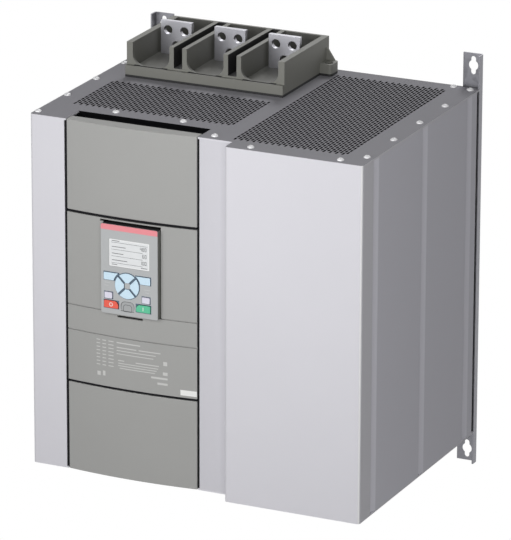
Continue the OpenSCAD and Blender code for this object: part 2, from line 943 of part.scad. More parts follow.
// Cover of the service port: it swings on two small pins at its lower edge
module port_flap() {
    y = flap_axis[0];
    color("#a3a6a6") {
        on_pad(face_y, face_y + flap_t)
            pad_rect([flap[0], flap[1], flap[2], flap[3] - flap_t / 2], [0, 0, flap_r, flap_r]);
        translate([pad_x + flap[0], y, flap_axis[1]]) rotate([0, 90, 0])
            cylinder(d = flap_t, h = flap[2] - flap[0]);
        translate([pad_x + flap[0] - flap_pin_l, y, flap_axis[1]]) rotate([0, 90, 0])
            cylinder(r = flap_pin, h = flap[2] - flap[0] + 2 * flap_pin_l);
    }
}

module port_socket() {
    shell = [8, 4.4];
    wall = 0.6;
    floor_t = 2;
    u = (flap[0] + flap[2]) / 2;
    v = (flap[1] + flap[3]) / 2;
    color("#c4c6c8") difference() {
        on_pad(face_back + seat_gap, board_y) translate([u, -v]) square(shell, center = true);
        on_pad(face_back, board_y - floor_t) translate([u, -v])
            square(shell - 2 * [wall, wall], center = true);
    }
}

// Terminal shrouds and busbars

// Front cut of a pocket, open at the top, with round lower corners
module pocket_cut() {
    translate([-pocket_w / 2, plinth_h]) rounded(pocket_w, shroud_h, [pocket_r, pocket_r, 0, 0]);
}

module shroud_ear() {
    translate([shroud_half - hair, -shroud_back - ear_in - ear[1], 0]) difference() {
        union() {
            rise(0, plinth_h) rounded(ear[0] + hair, ear[1], [0, ear_r, ear_r, 0]);
            translate([0, ear[1] - gusset_t, plinth_h - hair]) rotate([90, 0, 0]) mirror([0, 0, 1])
                linear_extrude(gusset_t) polygon([[0, 0], [gusset_w, 0], [0, gusset_h]]);
        }
        translate([ear_hole_at[0], ear_hole_at[1], -hair]) cylinder(d = ear_hole, h = plinth_h + 2 * hair);
        translate([ear_hole_at[0], ear_hole_at[1], plinth_h - ear_sink[1]])
            cylinder(d = ear_sink[0], h = ear_sink[1] + hair);
    }
}

// A shroud standing on z = 0, centred on the middle phase
module shroud() {
    wall_y = shroud_y + ledge;
    gap_w = phase_pitch - pocket_w - 2 * pocket_wall;
    difference() {
        union() {
            block([-shroud_half, shroud_y, 0], [shroud_half, -shroud_back, plinth_h]);
            block([-shroud_half, wall_y, 0], [shroud_half, -shroud_back, shroud_h]);
            for (s = [0, 1]) mirror([s, 0, 0]) shroud_ear();
        }
        for (i = [-1:1]) translate([i * phase_pitch, 0, 0]) {
            block([-pocket_w / 2, wall_y + front_wall, floor_z],
                [pocket_w / 2, -shroud_back - rear_wall, shroud_h + hair]);
            translate([0, wall_y + front_wall + hair, 0]) rotate([90, 0, 0])
                linear_extrude(front_wall + 2 * hair) pocket_cut();
            block([-ledge_slit_l / 2, wall_y - ledge_slit, plinth_h - ledge_slit_d],
                [ledge_slit_l / 2, wall_y, plinth_h + hair]);
            block([-bar_w / 2 - seat_gap, bar_y - seat_gap, -hair],
                [bar_w / 2 + seat_gap, bar_y + bar_t + seat_gap, floor_z + hair]);
        }
        for (s = [-1, 1]) block([s * phase_pitch / 2 - gap_w / 2, wall_y - hair, plinth_h + gap_floor],
            [s * phase_pitch / 2 + gap_w / 2, -shroud_back - rear_wall, shroud_h + hair]);
    }
}

module line_shroud() {
    color(cover_grey) translate([phase_x[1], 0, z_top]) shroud();
}

module load_shroud() {
    color(cover_grey) mirror([0, 0, 1]) translate([phase_x[1], 0, z_top]) shroud();
}

// Quarter of a bent strip about the origin, in the first quadrant
module strip_bend(inner, t) {
    intersection() {
        difference() {
            circle(inner + t);
            circle(inner);
        }
        square(inner + t);
    }
}

// Bar bent twice, from its thyristor block to its shroud, with three holes at its free end
module busbar(x) {
    foot_z = contact_z - contact_pad[1];
    turn = bar_bend + bar_t;
    difference() {
        translate([x - bar_w / 2, 0, 0]) rotate([90, 0, 90]) linear_extrude(bar_w) {
            translate([foot_y, foot_z]) square([bar_t, jog_z - bar_bend - foot_z]);
            translate([foot_y + turn, jog_z - bar_bend]) rotate(90) strip_bend(bar_bend, bar_t);
            translate([foot_y + turn, jog_z]) square([bar_y - bar_bend - foot_y - turn, bar_t]);
            translate([bar_y - bar_bend, jog_z + turn]) rotate(270) strip_bend(bar_bend, bar_t);
            translate([bar_y, jog_z + turn]) square([bar_t, bar_top - jog_z - turn]);
        }
        translate([x, hair - bar_back, bolt_z]) rotate([90, 0, 0])
            for (a = [30, 150, 270]) rotate(a) translate([bolt_circle / 2, 0, 0])
                cylinder(d = bolt_d, h = bar_t + 2 * hair);
        translate([x, foot_y - hair, contact_z]) rotate([-90, 0, 0])
            cylinder(d = foot_bolt + 2 * bore_gap, h = bar_t + 2 * hair);
    }
}

module line_busbar(i) {
    color(copper) busbar(phase_x[i]);
}

module load_busbar(i) {
    color(copper) mirror([0, 0, 1]) busbar(phase_x[i]);
}

// Power section

// Two bars with bent tabs that carry the heat sinks between the left side and the partition
module power_frame() {
    x0 = x_left + sheet;
    x1 = partition_x;
    z1 = sink_h / 2;
    color(dark_silver) both_ends() {
        block([x0, sink_y, z1 - frame_bar[1]], [x1, sink_y + frame_bar[0], z1]);
        for (x = [x0, x1 - sheet]) block([x, sink_y, z1 - frame_bar[1]], [x + sheet, sink_y + tab_d, z1]);
    }
}

module heat_sink(i) {
    step = (sink_w - fin_t) / (fins - 1);
    color("#c8c9cb") rise(-sink_h / 2, sink_h / 2) translate([phase_x[i] - sink_w / 2, sink_y - sink_base]) {
        square([sink_w, sink_base]);
        for (f = [0:fins - 1]) translate([f * step, -fin_d]) square([fin_t, fin_d + hair]);
    }
}

// Module with a screwed metal base, stepped resin body, a barrier and two threaded contact pads
module thyristor_block(i) {
    x = phase_x[i];
    inset = 4;
    foot = 12;
    half = block_w / 2 - inset;
    color("#3b3b3f") difference() {
        union() {
            block([x - block_w / 2, sink_y, -block_h / 2],
                [x + block_w / 2, sink_y + block_base, block_h / 2]);
            block([x - half, sink_y, foot - block_h / 2],
                [x + half, sink_y + block_d - inset, block_h / 2 - foot]);
            block([x - half + inset, sink_y, foot + inset - block_h / 2],
                [x + half - inset, sink_y + block_d, block_h / 2 - foot - inset]);
            block([x - half, sink_y, -barrier[0] / 2], [x + half, foot_y + barrier[1], barrier[0] / 2]);
            for (s = [-1, 1])
                block([x - contact_pad[0] / 2, sink_y + block_d - hair, s * contact_z - contact_pad[1] / 2],
                    [x + contact_pad[0] / 2, foot_y, s * contact_z + contact_pad[1] / 2]);
        }
        for (sx = [-1, 1], sz = [-1, 1])
            translate([x + sx * (block_w / 2 - foot / 2), sink_y - hair, sz * (block_h / 2 - foot / 2)])
                rotate([-90, 0, 0]) cylinder(d = block_screw, h = block_base + 2 * hair);
        for (s = [-1, 1]) translate([x, foot_y + hair, s * contact_z]) rotate([90, 0, 0])
            cylinder(d = foot_bolt + 2 * bore_gap, h = bolt_l - bar_t + 2 * hair);
    }
}

// Hexagon bolts that clamp the busbars' feet on the contact pads
module foot_bolts() {
    y = foot_y + bar_t;
    color("#b9babd") for (x = phase_x, s = [-1, 1]) translate([x, y, s * contact_z]) {
        rotate([-90, 0, 0]) cylinder(d = bolt_head[0] / cos(30), h = bolt_head[1], $fn = 6);
        rotate([90, 0, 0]) cylinder(d = foot_bolt, h = bolt_l);
        rotate([-90, 0, 0]) cylinder(d = foot_bolt, h = bolt_head[1]);
    }
}

// Ring cores round the load busbars
module current_transformers() {
    window = [bar_w + 2 * seat_gap, bar_t + 2 * seat_gap];
    color("#2a3d63") for (x = phase_x) rise(ct_z - ct[2] / 2, ct_z + ct[2] / 2)
        translate([x, bar_y + bar_t / 2]) difference() {
            translate([-ct[0] / 2, -ct[1] / 2]) rounded(ct[0], ct[1], [ct_r, ct_r, ct_r, ct_r]);
            square(window, center = true);
        }
}

module fan_frame(i) {
    color("#26262a") translate([fan_cx[i], fan_cy, fan_z]) {
        difference() {
            rise(0, fan_h) translate([-fan_w / 2, -fan_w / 2])
                rounded(fan_w, fan_w, [fan_r, fan_r, fan_r, fan_r]);
            translate([0, 0, -hair]) cylinder(r = fan_bore, h = fan_h + 2 * hair, $fn = 96);
            translate([0, 0, fan_h - flare + hair])
                cylinder(r1 = fan_bore, r2 = fan_bore + flare / 2, h = flare, $fn = 96);
            for (sx = [-1, 1], sy = [-1, 1])
                translate([sx * (fan_w / 2 - fan_screw_in), sy * (fan_w / 2 - fan_screw_in), -hair])
                    cylinder(d = fan_screw, h = fan_h + 2 * hair);
        }
        intersection() {
            for (a = [45, 135]) rotate(a) translate([-fan_w, -strut_w / 2, 0])
                cube([2 * fan_w, strut_w, motor_h]);
            cylinder(r = fan_bore + fan_wall / 2, h = fan_h);
        }
        cylinder(r = fan_hub, h = motor_h);
        cylinder(r = shaft_r, h = motor_h + hub_h / 2);
    }
}

// Arc-shaped section of a blade, its middle at the origin
module blade_section() {
    translate([0, -camber_r]) intersection() {
        difference() {
            circle(camber_r + blade_t / 2, $fn = 96);
            circle(camber_r - blade_t / 2, $fn = 96);
        }
        translate([-chord / 2, 0]) square([chord, 2 * camber_r]);
    }
}

module fan_rotor(i) {
    pitch_angle = 40;
    color("#35353a") translate([fan_cx[i], fan_cy, fan_z + motor_h + seat_gap]) difference() {
        union() {
            cylinder(r = fan_hub, h = hub_h);
            intersection() {
                for (b = [0:blades - 1]) rotate(b * 360 / blades) translate([fan_hub / 2, 0, hub_h / 2])
                    rotate([90, 0, 90]) linear_extrude(fan_bore) rotate(pitch_angle) blade_section();
                translate([0, 0, blade_in])
                    cylinder(r = fan_bore - tip_gap, h = hub_h - 2 * blade_in, $fn = 96);
            }
        }
        translate([0, 0, -hair]) cylinder(r = shaft_r + shaft_gap, h = hub_h / 2 + 2 * hair);
    }
}

// Bypass contactor

// One link for each phase at each end, from its busbar to its pole
module bypass_links() {
    color(copper) both_ends() for (i = [0:2]) {
        pole_x = contactor_x + (1 - i) * pole_pitch;
        z = link_z + (2 - i) * link_step;
        block([phase_x[i] - tab_w / 2, -link_back - link[0], z - link[1] / 2],
            [pole_x + tab_w / 2, -link_back, z + link[1] / 2]);
        block([phase_x[i] - tab_w / 2, -bar_back, z - link[1] / 2],
            [phase_x[i] + tab_w / 2, -link_back - link[0] + hair, z + link[1] / 2]);
    }
}

// Moulded base with a bay round each pole, feet on the pan and a cavity for the magnet
module contactor_base() {
    y = contactor_y;
    color("#d9d6cc") difference() {
        union() {
            difference() {
                block([contactor_x - contactor_w / 2, y - contactor_d, -contactor_h / 2],
                    [contactor_x + contactor_w / 2, y, contactor_h / 2]);
                both_ends() for (i = [-1:1]) translate([contactor_x + i * pole_pitch, 0, 0])
                    block([-bay[0] / 2, y - contactor_d - hair, contactor_h / 2 - bay[1]],
                        [bay[0] / 2, -link_back, contactor_h / 2 + hair]);
            }
            both_ends() for (i = [0:2]) {
                x = contactor_x + (1 - i) * pole_pitch;
                block([x - tab_w / 2, -link_back, contactor_h / 2 - bay[1]],
                    [x + tab_w / 2, -link_back + link[0], link_z + (2 - i) * link_step + link[1] / 2]);
            }
            both_ends() for (s = [-1, 1]) translate([contactor_x + s * (contactor_w - lug[0]) / 2, 0, 0])
                block([-lug[0] / 2, y - lug[2], contactor_h / 2 - hair],
                    [lug[0] / 2, y, contactor_h / 2 + lug[1]]);
        }
        block([contactor_x - cavity[0] / 2, y - contactor_d - hair, -cavity[1] / 2],
            [contactor_x + cavity[0] / 2, y - contactor_d + cavity_d, cavity[1] / 2]);
        both_ends() for (s = [-1, 1])
            translate([contactor_x + s * (contactor_w - lug[0]) / 2, y + hair, contactor_h / 2 + lug[1] / 2])
                rotate([90, 0, 0]) cylinder(d = lug_hole, h = lug[2] + 2 * hair);
    }
}

// Winding between the flanges of its bobbin
module contactor_coil() {
    y = contactor_y - contactor_d + cavity_d;
    half = coil[0] / 2;
    r = half / 4;
    color("#a05a2c") {
        translate([contactor_x, y, 0]) rotate([90, 0, 0]) linear_extrude(coil[2])
            translate([-half, -half]) rounded(coil[0], coil[1], [r, r, r, r]);
        for (d = [0, coil[2] - bobbin[1]])
            block([contactor_x - half - bobbin[0], y - d - bobbin[1], -half - bobbin[0]],
                [contactor_x + half + bobbin[0], y - d, half + bobbin[0]]);
    }
}

module contactor_armature() {
    y = contactor_y - contactor_d;
    knob = [30, 20];
    color("#2b2b2e") {
        block([contactor_x - armature[0] / 2, y + armature_in, -armature[1] / 2],
            [contactor_x + armature[0] / 2, y + armature_in + armature[2], armature[1] / 2]);
        block([contactor_x - knob[0] / 2, y - armature_in, -knob[1] / 2],
            [contactor_x + knob[0] / 2, y + armature_in + hair, knob[1] / 2]);
    }
}

// Control side

module control_board() {
    y = frame_back + standoff;
    color("#2f6b43") {
        block([cover_cx - control_pcb[0] / 2, y, control_z - control_pcb[1] / 2],
            [cover_cx + control_pcb[0] / 2, y + board_t, control_z + control_pcb[1] / 2]);
        for (c = chips)
            translate([cover_cx + c[0] - c[2] / 2, y + board_t - hair, control_z + c[1] - c[3] / 2])
                cube([c[2], c[4] + hair, c[3]]);
    }
}

// Row of wire terminals behind the upper cover: a stepped block with a wire mouth and a screw for each way
module control_terminals() {
    z = seam_z + end_cover_h / 3;
    way = strip[0] / ways;
    x0 = cover_cx - strip[0] / 2;
    color("#4a7f58") difference() {
        block([x0, frame_y - strip[2], z - strip[1] / 2], [x0 + strip[0], frame_y, z + strip[1] / 2]);
        block([x0 - hair, frame_y - strip[2] - hair, z + strip[1] / 8],
            [x0 + strip[0] + hair, frame_y - strip[2] / 2, z + strip[1] / 2 + hair]);
        for (w = [0:ways - 1]) translate([x0 + (w + 0.5) * way, 0, z]) {
            block([-way_hole / 2, frame_y - strip[2] - hair, -strip[1] / 4 - way_hole / 2],
                [way_hole / 2, frame_y - strip[2] / 2, -strip[1] / 4 + way_hole / 2]);
            translate([0, frame_y - strip[2] / 4, strip[1] / 4 + way_screw / 4]) rotate([90, 0, 0])
                cylinder(d = way_screw, h = strip[2]);
        }
    }
}

left_side_panel();
front_post();
right_box_front();
right_side_panel();
top_plate();
bottom_plate();
back_pan();
partition_plate();
left_rail();
right_rail();
casing_screws();
cover_frame();
upper_cover();
middle_cover();
lower_cover();
keypad_housing();
keypad_stripe();
keypad_rear_shell();
keypad_board();
display_module();
display_window();
soft_key_left();
soft_key_right();
up_key();
down_key();
left_key();
right_key();
small_key_left();
small_key_right();
stop_key();
start_key();
port_flap();
port_socket();
line_shroud();
load_shroud();
line_busbar(0);  // line_busbar_1
line_busbar(1);  // line_busbar_2
line_busbar(2);  // line_busbar_3
load_busbar(0);  // load_busbar_1
load_busbar(1);  // load_busbar_2
load_busbar(2);  // load_busbar_3
power_frame();
heat_sink(0);  // heat_sink_1
heat_sink(1);  // heat_sink_2
heat_sink(2);  // heat_sink_3
thyristor_block(0);  // thyristor_block_1
thyristor_block(1);  // thyristor_block_2
thyristor_block(2);  // thyristor_block_3
foot_bolts();
current_transformers();
fan_frame(0);  // fan_frame_1
fan_frame(1);  // fan_frame_2
fan_rotor(0);  // fan_rotor_1
fan_rotor(1);  // fan_rotor_2
bypass_links();
contactor_base();
contactor_coil();
contactor_armature();
control_board();
control_terminals();
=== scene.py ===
"""The looks of a wall-mounted soft starter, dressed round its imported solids.

Metres, with the front towards -Y and +Z up.
"""
import json
import math

import bmesh
import bpy
import numpy as np
from mathutils import Matrix, Vector
from mathutils.geometry import delaunay_2d_cdt

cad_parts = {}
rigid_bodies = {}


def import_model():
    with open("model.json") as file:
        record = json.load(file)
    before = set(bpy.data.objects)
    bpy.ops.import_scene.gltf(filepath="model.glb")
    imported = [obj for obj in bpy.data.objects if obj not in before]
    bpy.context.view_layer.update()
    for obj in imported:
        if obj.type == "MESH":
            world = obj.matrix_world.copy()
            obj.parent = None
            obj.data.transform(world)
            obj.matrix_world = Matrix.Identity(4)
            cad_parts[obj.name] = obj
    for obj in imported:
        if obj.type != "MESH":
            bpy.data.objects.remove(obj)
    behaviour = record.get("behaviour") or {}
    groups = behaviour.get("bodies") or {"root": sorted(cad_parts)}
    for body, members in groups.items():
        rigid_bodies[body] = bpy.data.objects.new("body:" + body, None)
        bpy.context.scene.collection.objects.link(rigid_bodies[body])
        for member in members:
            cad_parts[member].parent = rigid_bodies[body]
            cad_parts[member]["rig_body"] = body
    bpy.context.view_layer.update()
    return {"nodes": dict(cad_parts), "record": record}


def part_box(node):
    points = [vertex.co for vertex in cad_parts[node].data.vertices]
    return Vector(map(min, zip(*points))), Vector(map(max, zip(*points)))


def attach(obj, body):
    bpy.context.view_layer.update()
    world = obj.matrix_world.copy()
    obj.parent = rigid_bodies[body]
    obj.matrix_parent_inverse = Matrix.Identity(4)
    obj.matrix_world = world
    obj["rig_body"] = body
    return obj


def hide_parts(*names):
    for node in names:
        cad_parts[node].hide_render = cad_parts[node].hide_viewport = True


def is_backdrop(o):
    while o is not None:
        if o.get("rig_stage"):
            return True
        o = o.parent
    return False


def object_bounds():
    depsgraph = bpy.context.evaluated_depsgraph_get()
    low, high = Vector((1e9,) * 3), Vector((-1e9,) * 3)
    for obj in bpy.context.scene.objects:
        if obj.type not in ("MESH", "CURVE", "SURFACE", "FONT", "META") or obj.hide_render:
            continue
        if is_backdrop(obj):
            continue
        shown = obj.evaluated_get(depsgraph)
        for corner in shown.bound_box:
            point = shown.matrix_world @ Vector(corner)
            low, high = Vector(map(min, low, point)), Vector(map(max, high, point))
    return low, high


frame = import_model()

# Camera
# A long lens from the front right and above, six metres away, so that upright edges stay parallel.
scene = bpy.context.scene
scene.view_settings.view_transform = "Standard"
camera_turn = math.radians(25.13)
camera_rise = math.radians(18.44)
camera_roll = math.radians(0.178)
camera_distance = 6.1275
camera_lens = 343.6
camera_reach = 60
camera_aim = Vector((-0.0005, -0.182, -0.002))
camera_slide = (0.00409, 0.01195)
camera_back = Vector((
    math.sin(camera_turn) * math.cos(camera_rise),
    -math.cos(camera_turn) * math.cos(camera_rise),
    math.sin(camera_rise),
))
level = Vector((math.cos(camera_turn), math.sin(camera_turn), 0))
camera_right = level * math.cos(camera_roll) + camera_back.cross(level) * math.sin(camera_roll)
camera_up = camera_back.cross(camera_right)
camera = bpy.data.objects.new("camera", bpy.data.cameras.new("camera"))
camera.data.lens = camera_lens
camera.data.clip_end = camera_reach
camera_place = camera_aim + camera_back * camera_distance
camera_place += camera_right * camera_slide[0] + camera_up * camera_slide[1]
camera.matrix_world = Matrix((camera_right, camera_up, camera_back)).transposed().to_4x4()
camera.location = camera_place
scene.collection.objects.link(camera)
scene.camera = camera


# Studio
# A white floor a little way under the part, clear from below, dim light from all round, two broad lamps in
# front, a weak one on the right and one high up at the rear.
class Socket:
    """One output of a node. Plain operators on it, such as sums and products, add Math nodes to its tree."""

    def __init__(self, tree, output):
        self.tree = tree
        self.output = output

    def join(self, operation, first, second):
        return self.tree.node("ShaderNodeMath", {"operation": operation}, {0: first, 1: second})

    def __add__(self, other):
        return self.join("ADD", self, other)

    def __radd__(self, other):
        return self.join("ADD", other, self)

    def __sub__(self, other):
        return self.join("SUBTRACT", self, other)

    def __rsub__(self, other):
        return self.join("SUBTRACT", other, self)

    def __mul__(self, other):
        return self.join("MULTIPLY", self, other)

    def __rmul__(self, other):
        return self.join("MULTIPLY", other, self)

    def __abs__(self):
        return self.join("ABSOLUTE", self, 0.0)

    def __pow__(self, other):
        return self.join("POWER", self, other)

    def __mod__(self, other):
        return self.join("FLOORED_MODULO", self, other)

    def __or__(self, other):
        return self.join("MAXIMUM", self, other)

    def __and__(self, other):
        return self.join("MINIMUM", self, other)

    def __gt__(self, other):
        return self.join("GREATER_THAN", self, other)

    def __lt__(self, other):
        return self.join("LESS_THAN", self, other)


class Tree:
    """The nodes of one material or world."""

    def __init__(self, owner):
        owner.use_nodes = True
        self.owner = owner
        self.nodes = owner.node_tree.nodes
        self.links = owner.node_tree.links
        self.nodes.clear()

    def node(self, kind, settings=None, sockets=None, out=0):
        """Adds a node of that kind, sets it up, then fills or links its sockets; returns one output."""
        made = self.nodes.new(kind)
        for name, value in (settings or {}).items():
            setattr(made, name, value)
        for name, value in (sockets or {}).items():
            if isinstance(value, Socket):
                self.links.new(value.output, made.inputs[name])
            else:
                made.inputs[name].default_value = value
        return Socket(self, made.outputs[out]) if made.outputs else None

    def split(self, vector):
        """The three numbers of a vector."""
        node = self.node("ShaderNodeSeparateXYZ", None, {"Vector": vector}).output.node
        return [Socket(self, node.outputs[axis]) for axis in ("X", "Y", "Z")]

    def place(self):
        """Where a point lies on the piece, in metres."""
        return self.node("ShaderNodeTexCoord", out="Object")

    def axes(self):
        """The three numbers of that place."""
        return self.split(self.place())

    def facing(self):
        """The three numbers of the surface's direction."""
        return self.split(self.node("ShaderNodeNewGeometry", out="Normal"))

    def noise(self, size, detail=2.0, stretch=(1, 1, 1)):
        """Soft random values from 0 to 1 with grains about size metres wide, drawn out along an axis."""
        spot = self.node("ShaderNodeMapping", None, {"Vector": self.place(), "Scale": stretch})
        return self.node("ShaderNodeTexNoise", None, {"Vector": spot, "Scale": 1 / size, "Detail": detail})

    def blend(self, share, first, second):
        """A colour between two colours."""
        return self.node("ShaderNodeMix", {"data_type": "RGBA"}, {0: share, 6: first, 7: second}, out=2)

    def bump(self, height, depth):
        """A surface normal for bumps of that depth in metres, with height from 0 to 1."""
        return self.node("ShaderNodeBump", None, {"Height": height, "Distance": depth, "Strength": 1.0})

    def surface(self, **sockets):
        """Ends the tree in a Principled shader; underscores in the names stand for spaces."""
        named = {name.replace("_", " "): value for name, value in sockets.items()}
        shader = self.node("ShaderNodeBsdfPrincipled", None, named)
        self.node("ShaderNodeOutputMaterial", None, {"Surface": shader})
        return self.owner


white = (1, 1, 1, 1)
room_light = 0.11


def seen(tree):
    """1 on rays straight from the camera, or by way of metal or glass, and 0 on light's own paths."""
    path = [tree.node("ShaderNodeLightPath", out=name)
            for name in ("Is Camera Ray", "Is Glossy Ray", "Is Transmission Ray")]
    return (path[0] + path[1]) | path[2]


scene.world = bpy.data.worlds.new("studio")
sky = Tree(scene.world)
dim = sky.node("ShaderNodeBackground", None, {"Color": white, "Strength": room_light})
bright = sky.node("ShaderNodeBackground", None, {"Color": white, "Strength": 1.0})
shown = sky.node("ShaderNodeMixShader", None, {0: seen(sky), 1: dim, 2: bright})
sky.node("ShaderNodeOutputWorld", None, {"Surface": shown})

floor_drop = 0.42
floor_half = 14.0
floor_grey = (0.45, 0.45, 0.45, 1)
floor_corners = [
    (-floor_half, -floor_half, -floor_drop),
    (floor_half, -floor_half, -floor_drop),
    (floor_half, floor_half, -floor_drop),
    (-floor_half, floor_half, -floor_drop),
]
floor_mesh = bpy.data.meshes.new("floor")
floor_mesh.from_pydata(floor_corners, [], [(0, 1, 2, 3)])
floor = bpy.data.objects.new("floor", floor_mesh)
scene.collection.objects.link(floor)
floor_tree = Tree(bpy.data.materials.new("white_floor"))
matt = floor_tree.node("ShaderNodeBsdfDiffuse", None, {"Color": floor_grey})
glow = floor_tree.node("ShaderNodeEmission", None, {"Color": white, "Strength": 1.0})
from_above = floor_tree.node("ShaderNodeMixShader", None, {0: seen(floor_tree), 1: matt, 2: glow})
under = floor_tree.node("ShaderNodeNewGeometry", out="Backfacing")
clear = floor_tree.node("ShaderNodeBsdfTransparent")
floor_look = floor_tree.node("ShaderNodeMixShader", None, {0: under, 1: from_above, 2: clear})
floor_tree.node("ShaderNodeOutputMaterial", None, {"Surface": floor_look})
floor_mesh.materials.append(floor_tree.owner)
floor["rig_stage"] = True


def softbox(name, place, aim, size, power):
    """A square lamp at place that faces aim; it lights the part but isn't seen itself."""
    lamp = bpy.data.objects.new(name, bpy.data.lights.new(name, "AREA"))
    lamp.data.size = size
    lamp.data.energy = power
    lamp.location = place
    lamp.rotation_euler = (Vector(aim) - Vector(place)).to_track_quat("-Z", "Y").to_euler()
    lamp.visible_camera = False
    scene.collection.objects.link(lamp)
    lamp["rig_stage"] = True


softbox("left_lamp", (-0.30, -1.36, 0.42), (0, -0.33, 0.05), 0.7, 6.9)
softbox("front_lamp", (0.50, -1.36, 0.42), (0, -0.33, 0.05), 0.7, 6.1)
softbox("right_lamp", (1.7, -0.4, 0.8), (0.2, -0.17, 0.1), 0.9, 2.0)
softbox("rear_lamp", (-0.3, 1.3, 1.7), (0, -0.15, 0.2), 0.7, 14.5)


# Casing sheets
# Two-millimetre steel, folded on a press brake and powder coated in a smooth silver grey.
# Its skin has the faint waviness of baked powder. A highlight is painted paler on the bends and on the
# right side's joggles, and the front post's coat is a little darker, as painted shade.
node_slot = {row["node"]: row["material_slot"] for row in frame["record"]["subparts"]}
flat_angle = math.radians(0.3)
edge_angle = math.radians(28)
same_point = 1e-6


def dressed(node, finish, edge, facets=2, crease=28):
    """A copy of a solid with its triangles joined to whole faces and its sharp edges rounded off by edge.
    Faces that meet at less than the crease are shaded as one, led by the larger of them."""
    solid = frame["nodes"][node]
    mesh = solid.data.copy()
    form = bmesh.new()
    form.from_mesh(mesh)
    bmesh.ops.remove_doubles(form, verts=form.verts, dist=same_point)
    bmesh.ops.dissolve_limit(form, angle_limit=flat_angle, verts=form.verts, edges=form.edges)
    for face in form.faces:
        face.smooth = True
    form.to_mesh(mesh)
    form.free()
    if "custom_normal" in mesh.attributes:
        mesh.attributes.remove(mesh.attributes["custom_normal"])
    mesh.set_sharp_from_angle(angle=math.radians(crease))
    piece = bpy.data.objects.new(node + "_dressed", mesh)
    scene.collection.objects.link(piece)
    rounding = piece.modifiers.new("rounding", "BEVEL")
    rounding.width = edge
    rounding.segments = facets
    rounding.limit_method = "ANGLE"
    rounding.angle_limit = edge_angle
    rounding.harden_normals = True
    rounding.use_clamp_overlap = True
    shading = piece.modifiers.new("shading", "WEIGHTED_NORMAL")
    shading.keep_sharp = True
    mesh.materials.clear()
    mesh.materials.append(finish)
    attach(piece, solid["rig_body"])
    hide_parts(node)
    return piece


def linear(code, times=1.0):
    """A colour written as #rrggbb, turned into the light values that a shader takes, times a factor."""
    parts = np.array([int(code[i:i + 2], 16) for i in (1, 3, 5)]) / 255
    light = np.where(parts < 0.04045, parts / 12.92, ((parts + 0.055) / 1.055) ** 2.4)
    return (*np.minimum(times * light, 1.0).tolist(), 1.0)


def powder_coat(name, colour, gloss, shine, painted_highlight_colour, gain=2.0, other_hand=0.0, sharp=6.0):
    """Baked powder paint: faint clouds in the colour, a fine orange peel and a satin gloss. A painted
    highlight makes it paler on upright folds that face front right: the product of the normal's two level
    parts, times the gain and cut off at one, is raised to the power sharp. Folds of the other hand get that
    share of it."""
    cloud_size, peel_size, peel_depth = 0.12, 0.0016, 0.00003
    tree = Tree(bpy.data.materials.new(name))
    cloud = tree.noise(cloud_size, 3)
    peel = tree.noise(peel_size, 2)
    sideways, forward, _ = tree.facing()
    lean = sideways * forward
    # This share is a painted highlight on folds.
    painted_fold_highlight = ((lean * -gain | lean * (gain * other_hand)) & 1.0) ** sharp
    clouded = tree.blend(cloud, linear(colour, 0.96), linear(colour))
    return tree.surface(
        Base_Color=tree.blend(painted_fold_highlight, clouded, linear(painted_highlight_colour)),
        Metallic=0.0,
        Specular_IOR_Level=shine,
        Roughness=gloss + cloud * 0.06,
        Normal=tree.bump(peel, peel_depth),
    )


bend_edge, bend_facets = 0.0006, 3
# The white on the bends is a painted highlight.
silver_coat = powder_coat("silver_powder_coat", "#DCDBE1", 0.42, 0.15, "#FFFFFF")
for sheet in ("left_side_panel", "right_box_front"):
    dressed(sheet, silver_coat, bend_edge, bend_facets)
# A darker copy of the silver coat on the front post: painted shade.
post_shaded_coat = powder_coat("post_coat_painted_shade", "#D3D2D8", 0.42, 0.15, "#FFFFFF")
dressed("front_post", post_shaded_coat, bend_edge, bend_facets)
# The pale colour on the joggles' slants is a painted highlight.
joggle_coat = powder_coat(
    "joggled_powder_coat", "#DCDBE4", 0.42, 0.15, "#F4F3FC", gain=5.0, other_hand=1.0, sharp=1.0)
dressed("right_side_panel", joggle_coat, bend_edge, bend_facets, crease=4)


# Top and bottom plates
# Flat sheets screwed down on the casing's flanges. The bottom one has the casing's coat, and the top one a
# darker copy of it that paints in shade. The top one is punched with two staggered fields of slots for the
# warm air, and notched over the covers; the walls of its slots and the recess over the covers are painted
# near black as painted shade.
# The top plate's coat is a darker copy of the silver coat: painted shade.
plate_shaded_coat = powder_coat("plate_coat_painted_shade", "#A2A1A7", 0.55, 0.05, "#A2A1A7")
# A near-black coat that paints shade into the slots and the recess.
hole_shade_coat = powder_coat("punched_wall_painted_shade", "#101012", 0.7, 0.02, "#101012")
dressed("bottom_plate", silver_coat, 0.0004)
plate_low, plate_high = (np.array(corner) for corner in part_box("top_plate"))
x_low, y_low, lip_low = plate_low
x_high, y_high, plate_top = plate_high
sheet_t = 0.002
front_y = -0.332
bend_r = 0.004
box_x = 0.0445
notch_left, notch_right, notch_back = -0.1705, 0.0005, -0.297
hole_pitch, hole_row, hole_r, hole_l = 0.008, 0.00474, 0.00135, 0.008
hole_fields = (((-0.189, -0.2704), (0.0205, -0.1671)), ((0.042, -0.3184), (0.1835, -0.0321)))
field_margin = 0.006
ring_steps, bend_steps = 12, 7
phase_x = np.array((-0.1535, -0.082, -0.0105))
bar_slot_y, bar_slot_half = -0.07, (0.0245, 0.009)
screw_hole_r = 0.0022
side_y = (-0.32, -0.245, -0.17, -0.095, -0.02)
screw_spots = np.array([
    *((-0.2125, y) for y in side_y),
    *((0.2085, y) for y in side_y),
    (0.0165, -0.32), (-0.12875, -0.284), (-0.04125, -0.284),
    (0.073, -0.3425), (0.1855, -0.3425), (0.1855, -0.016),
])


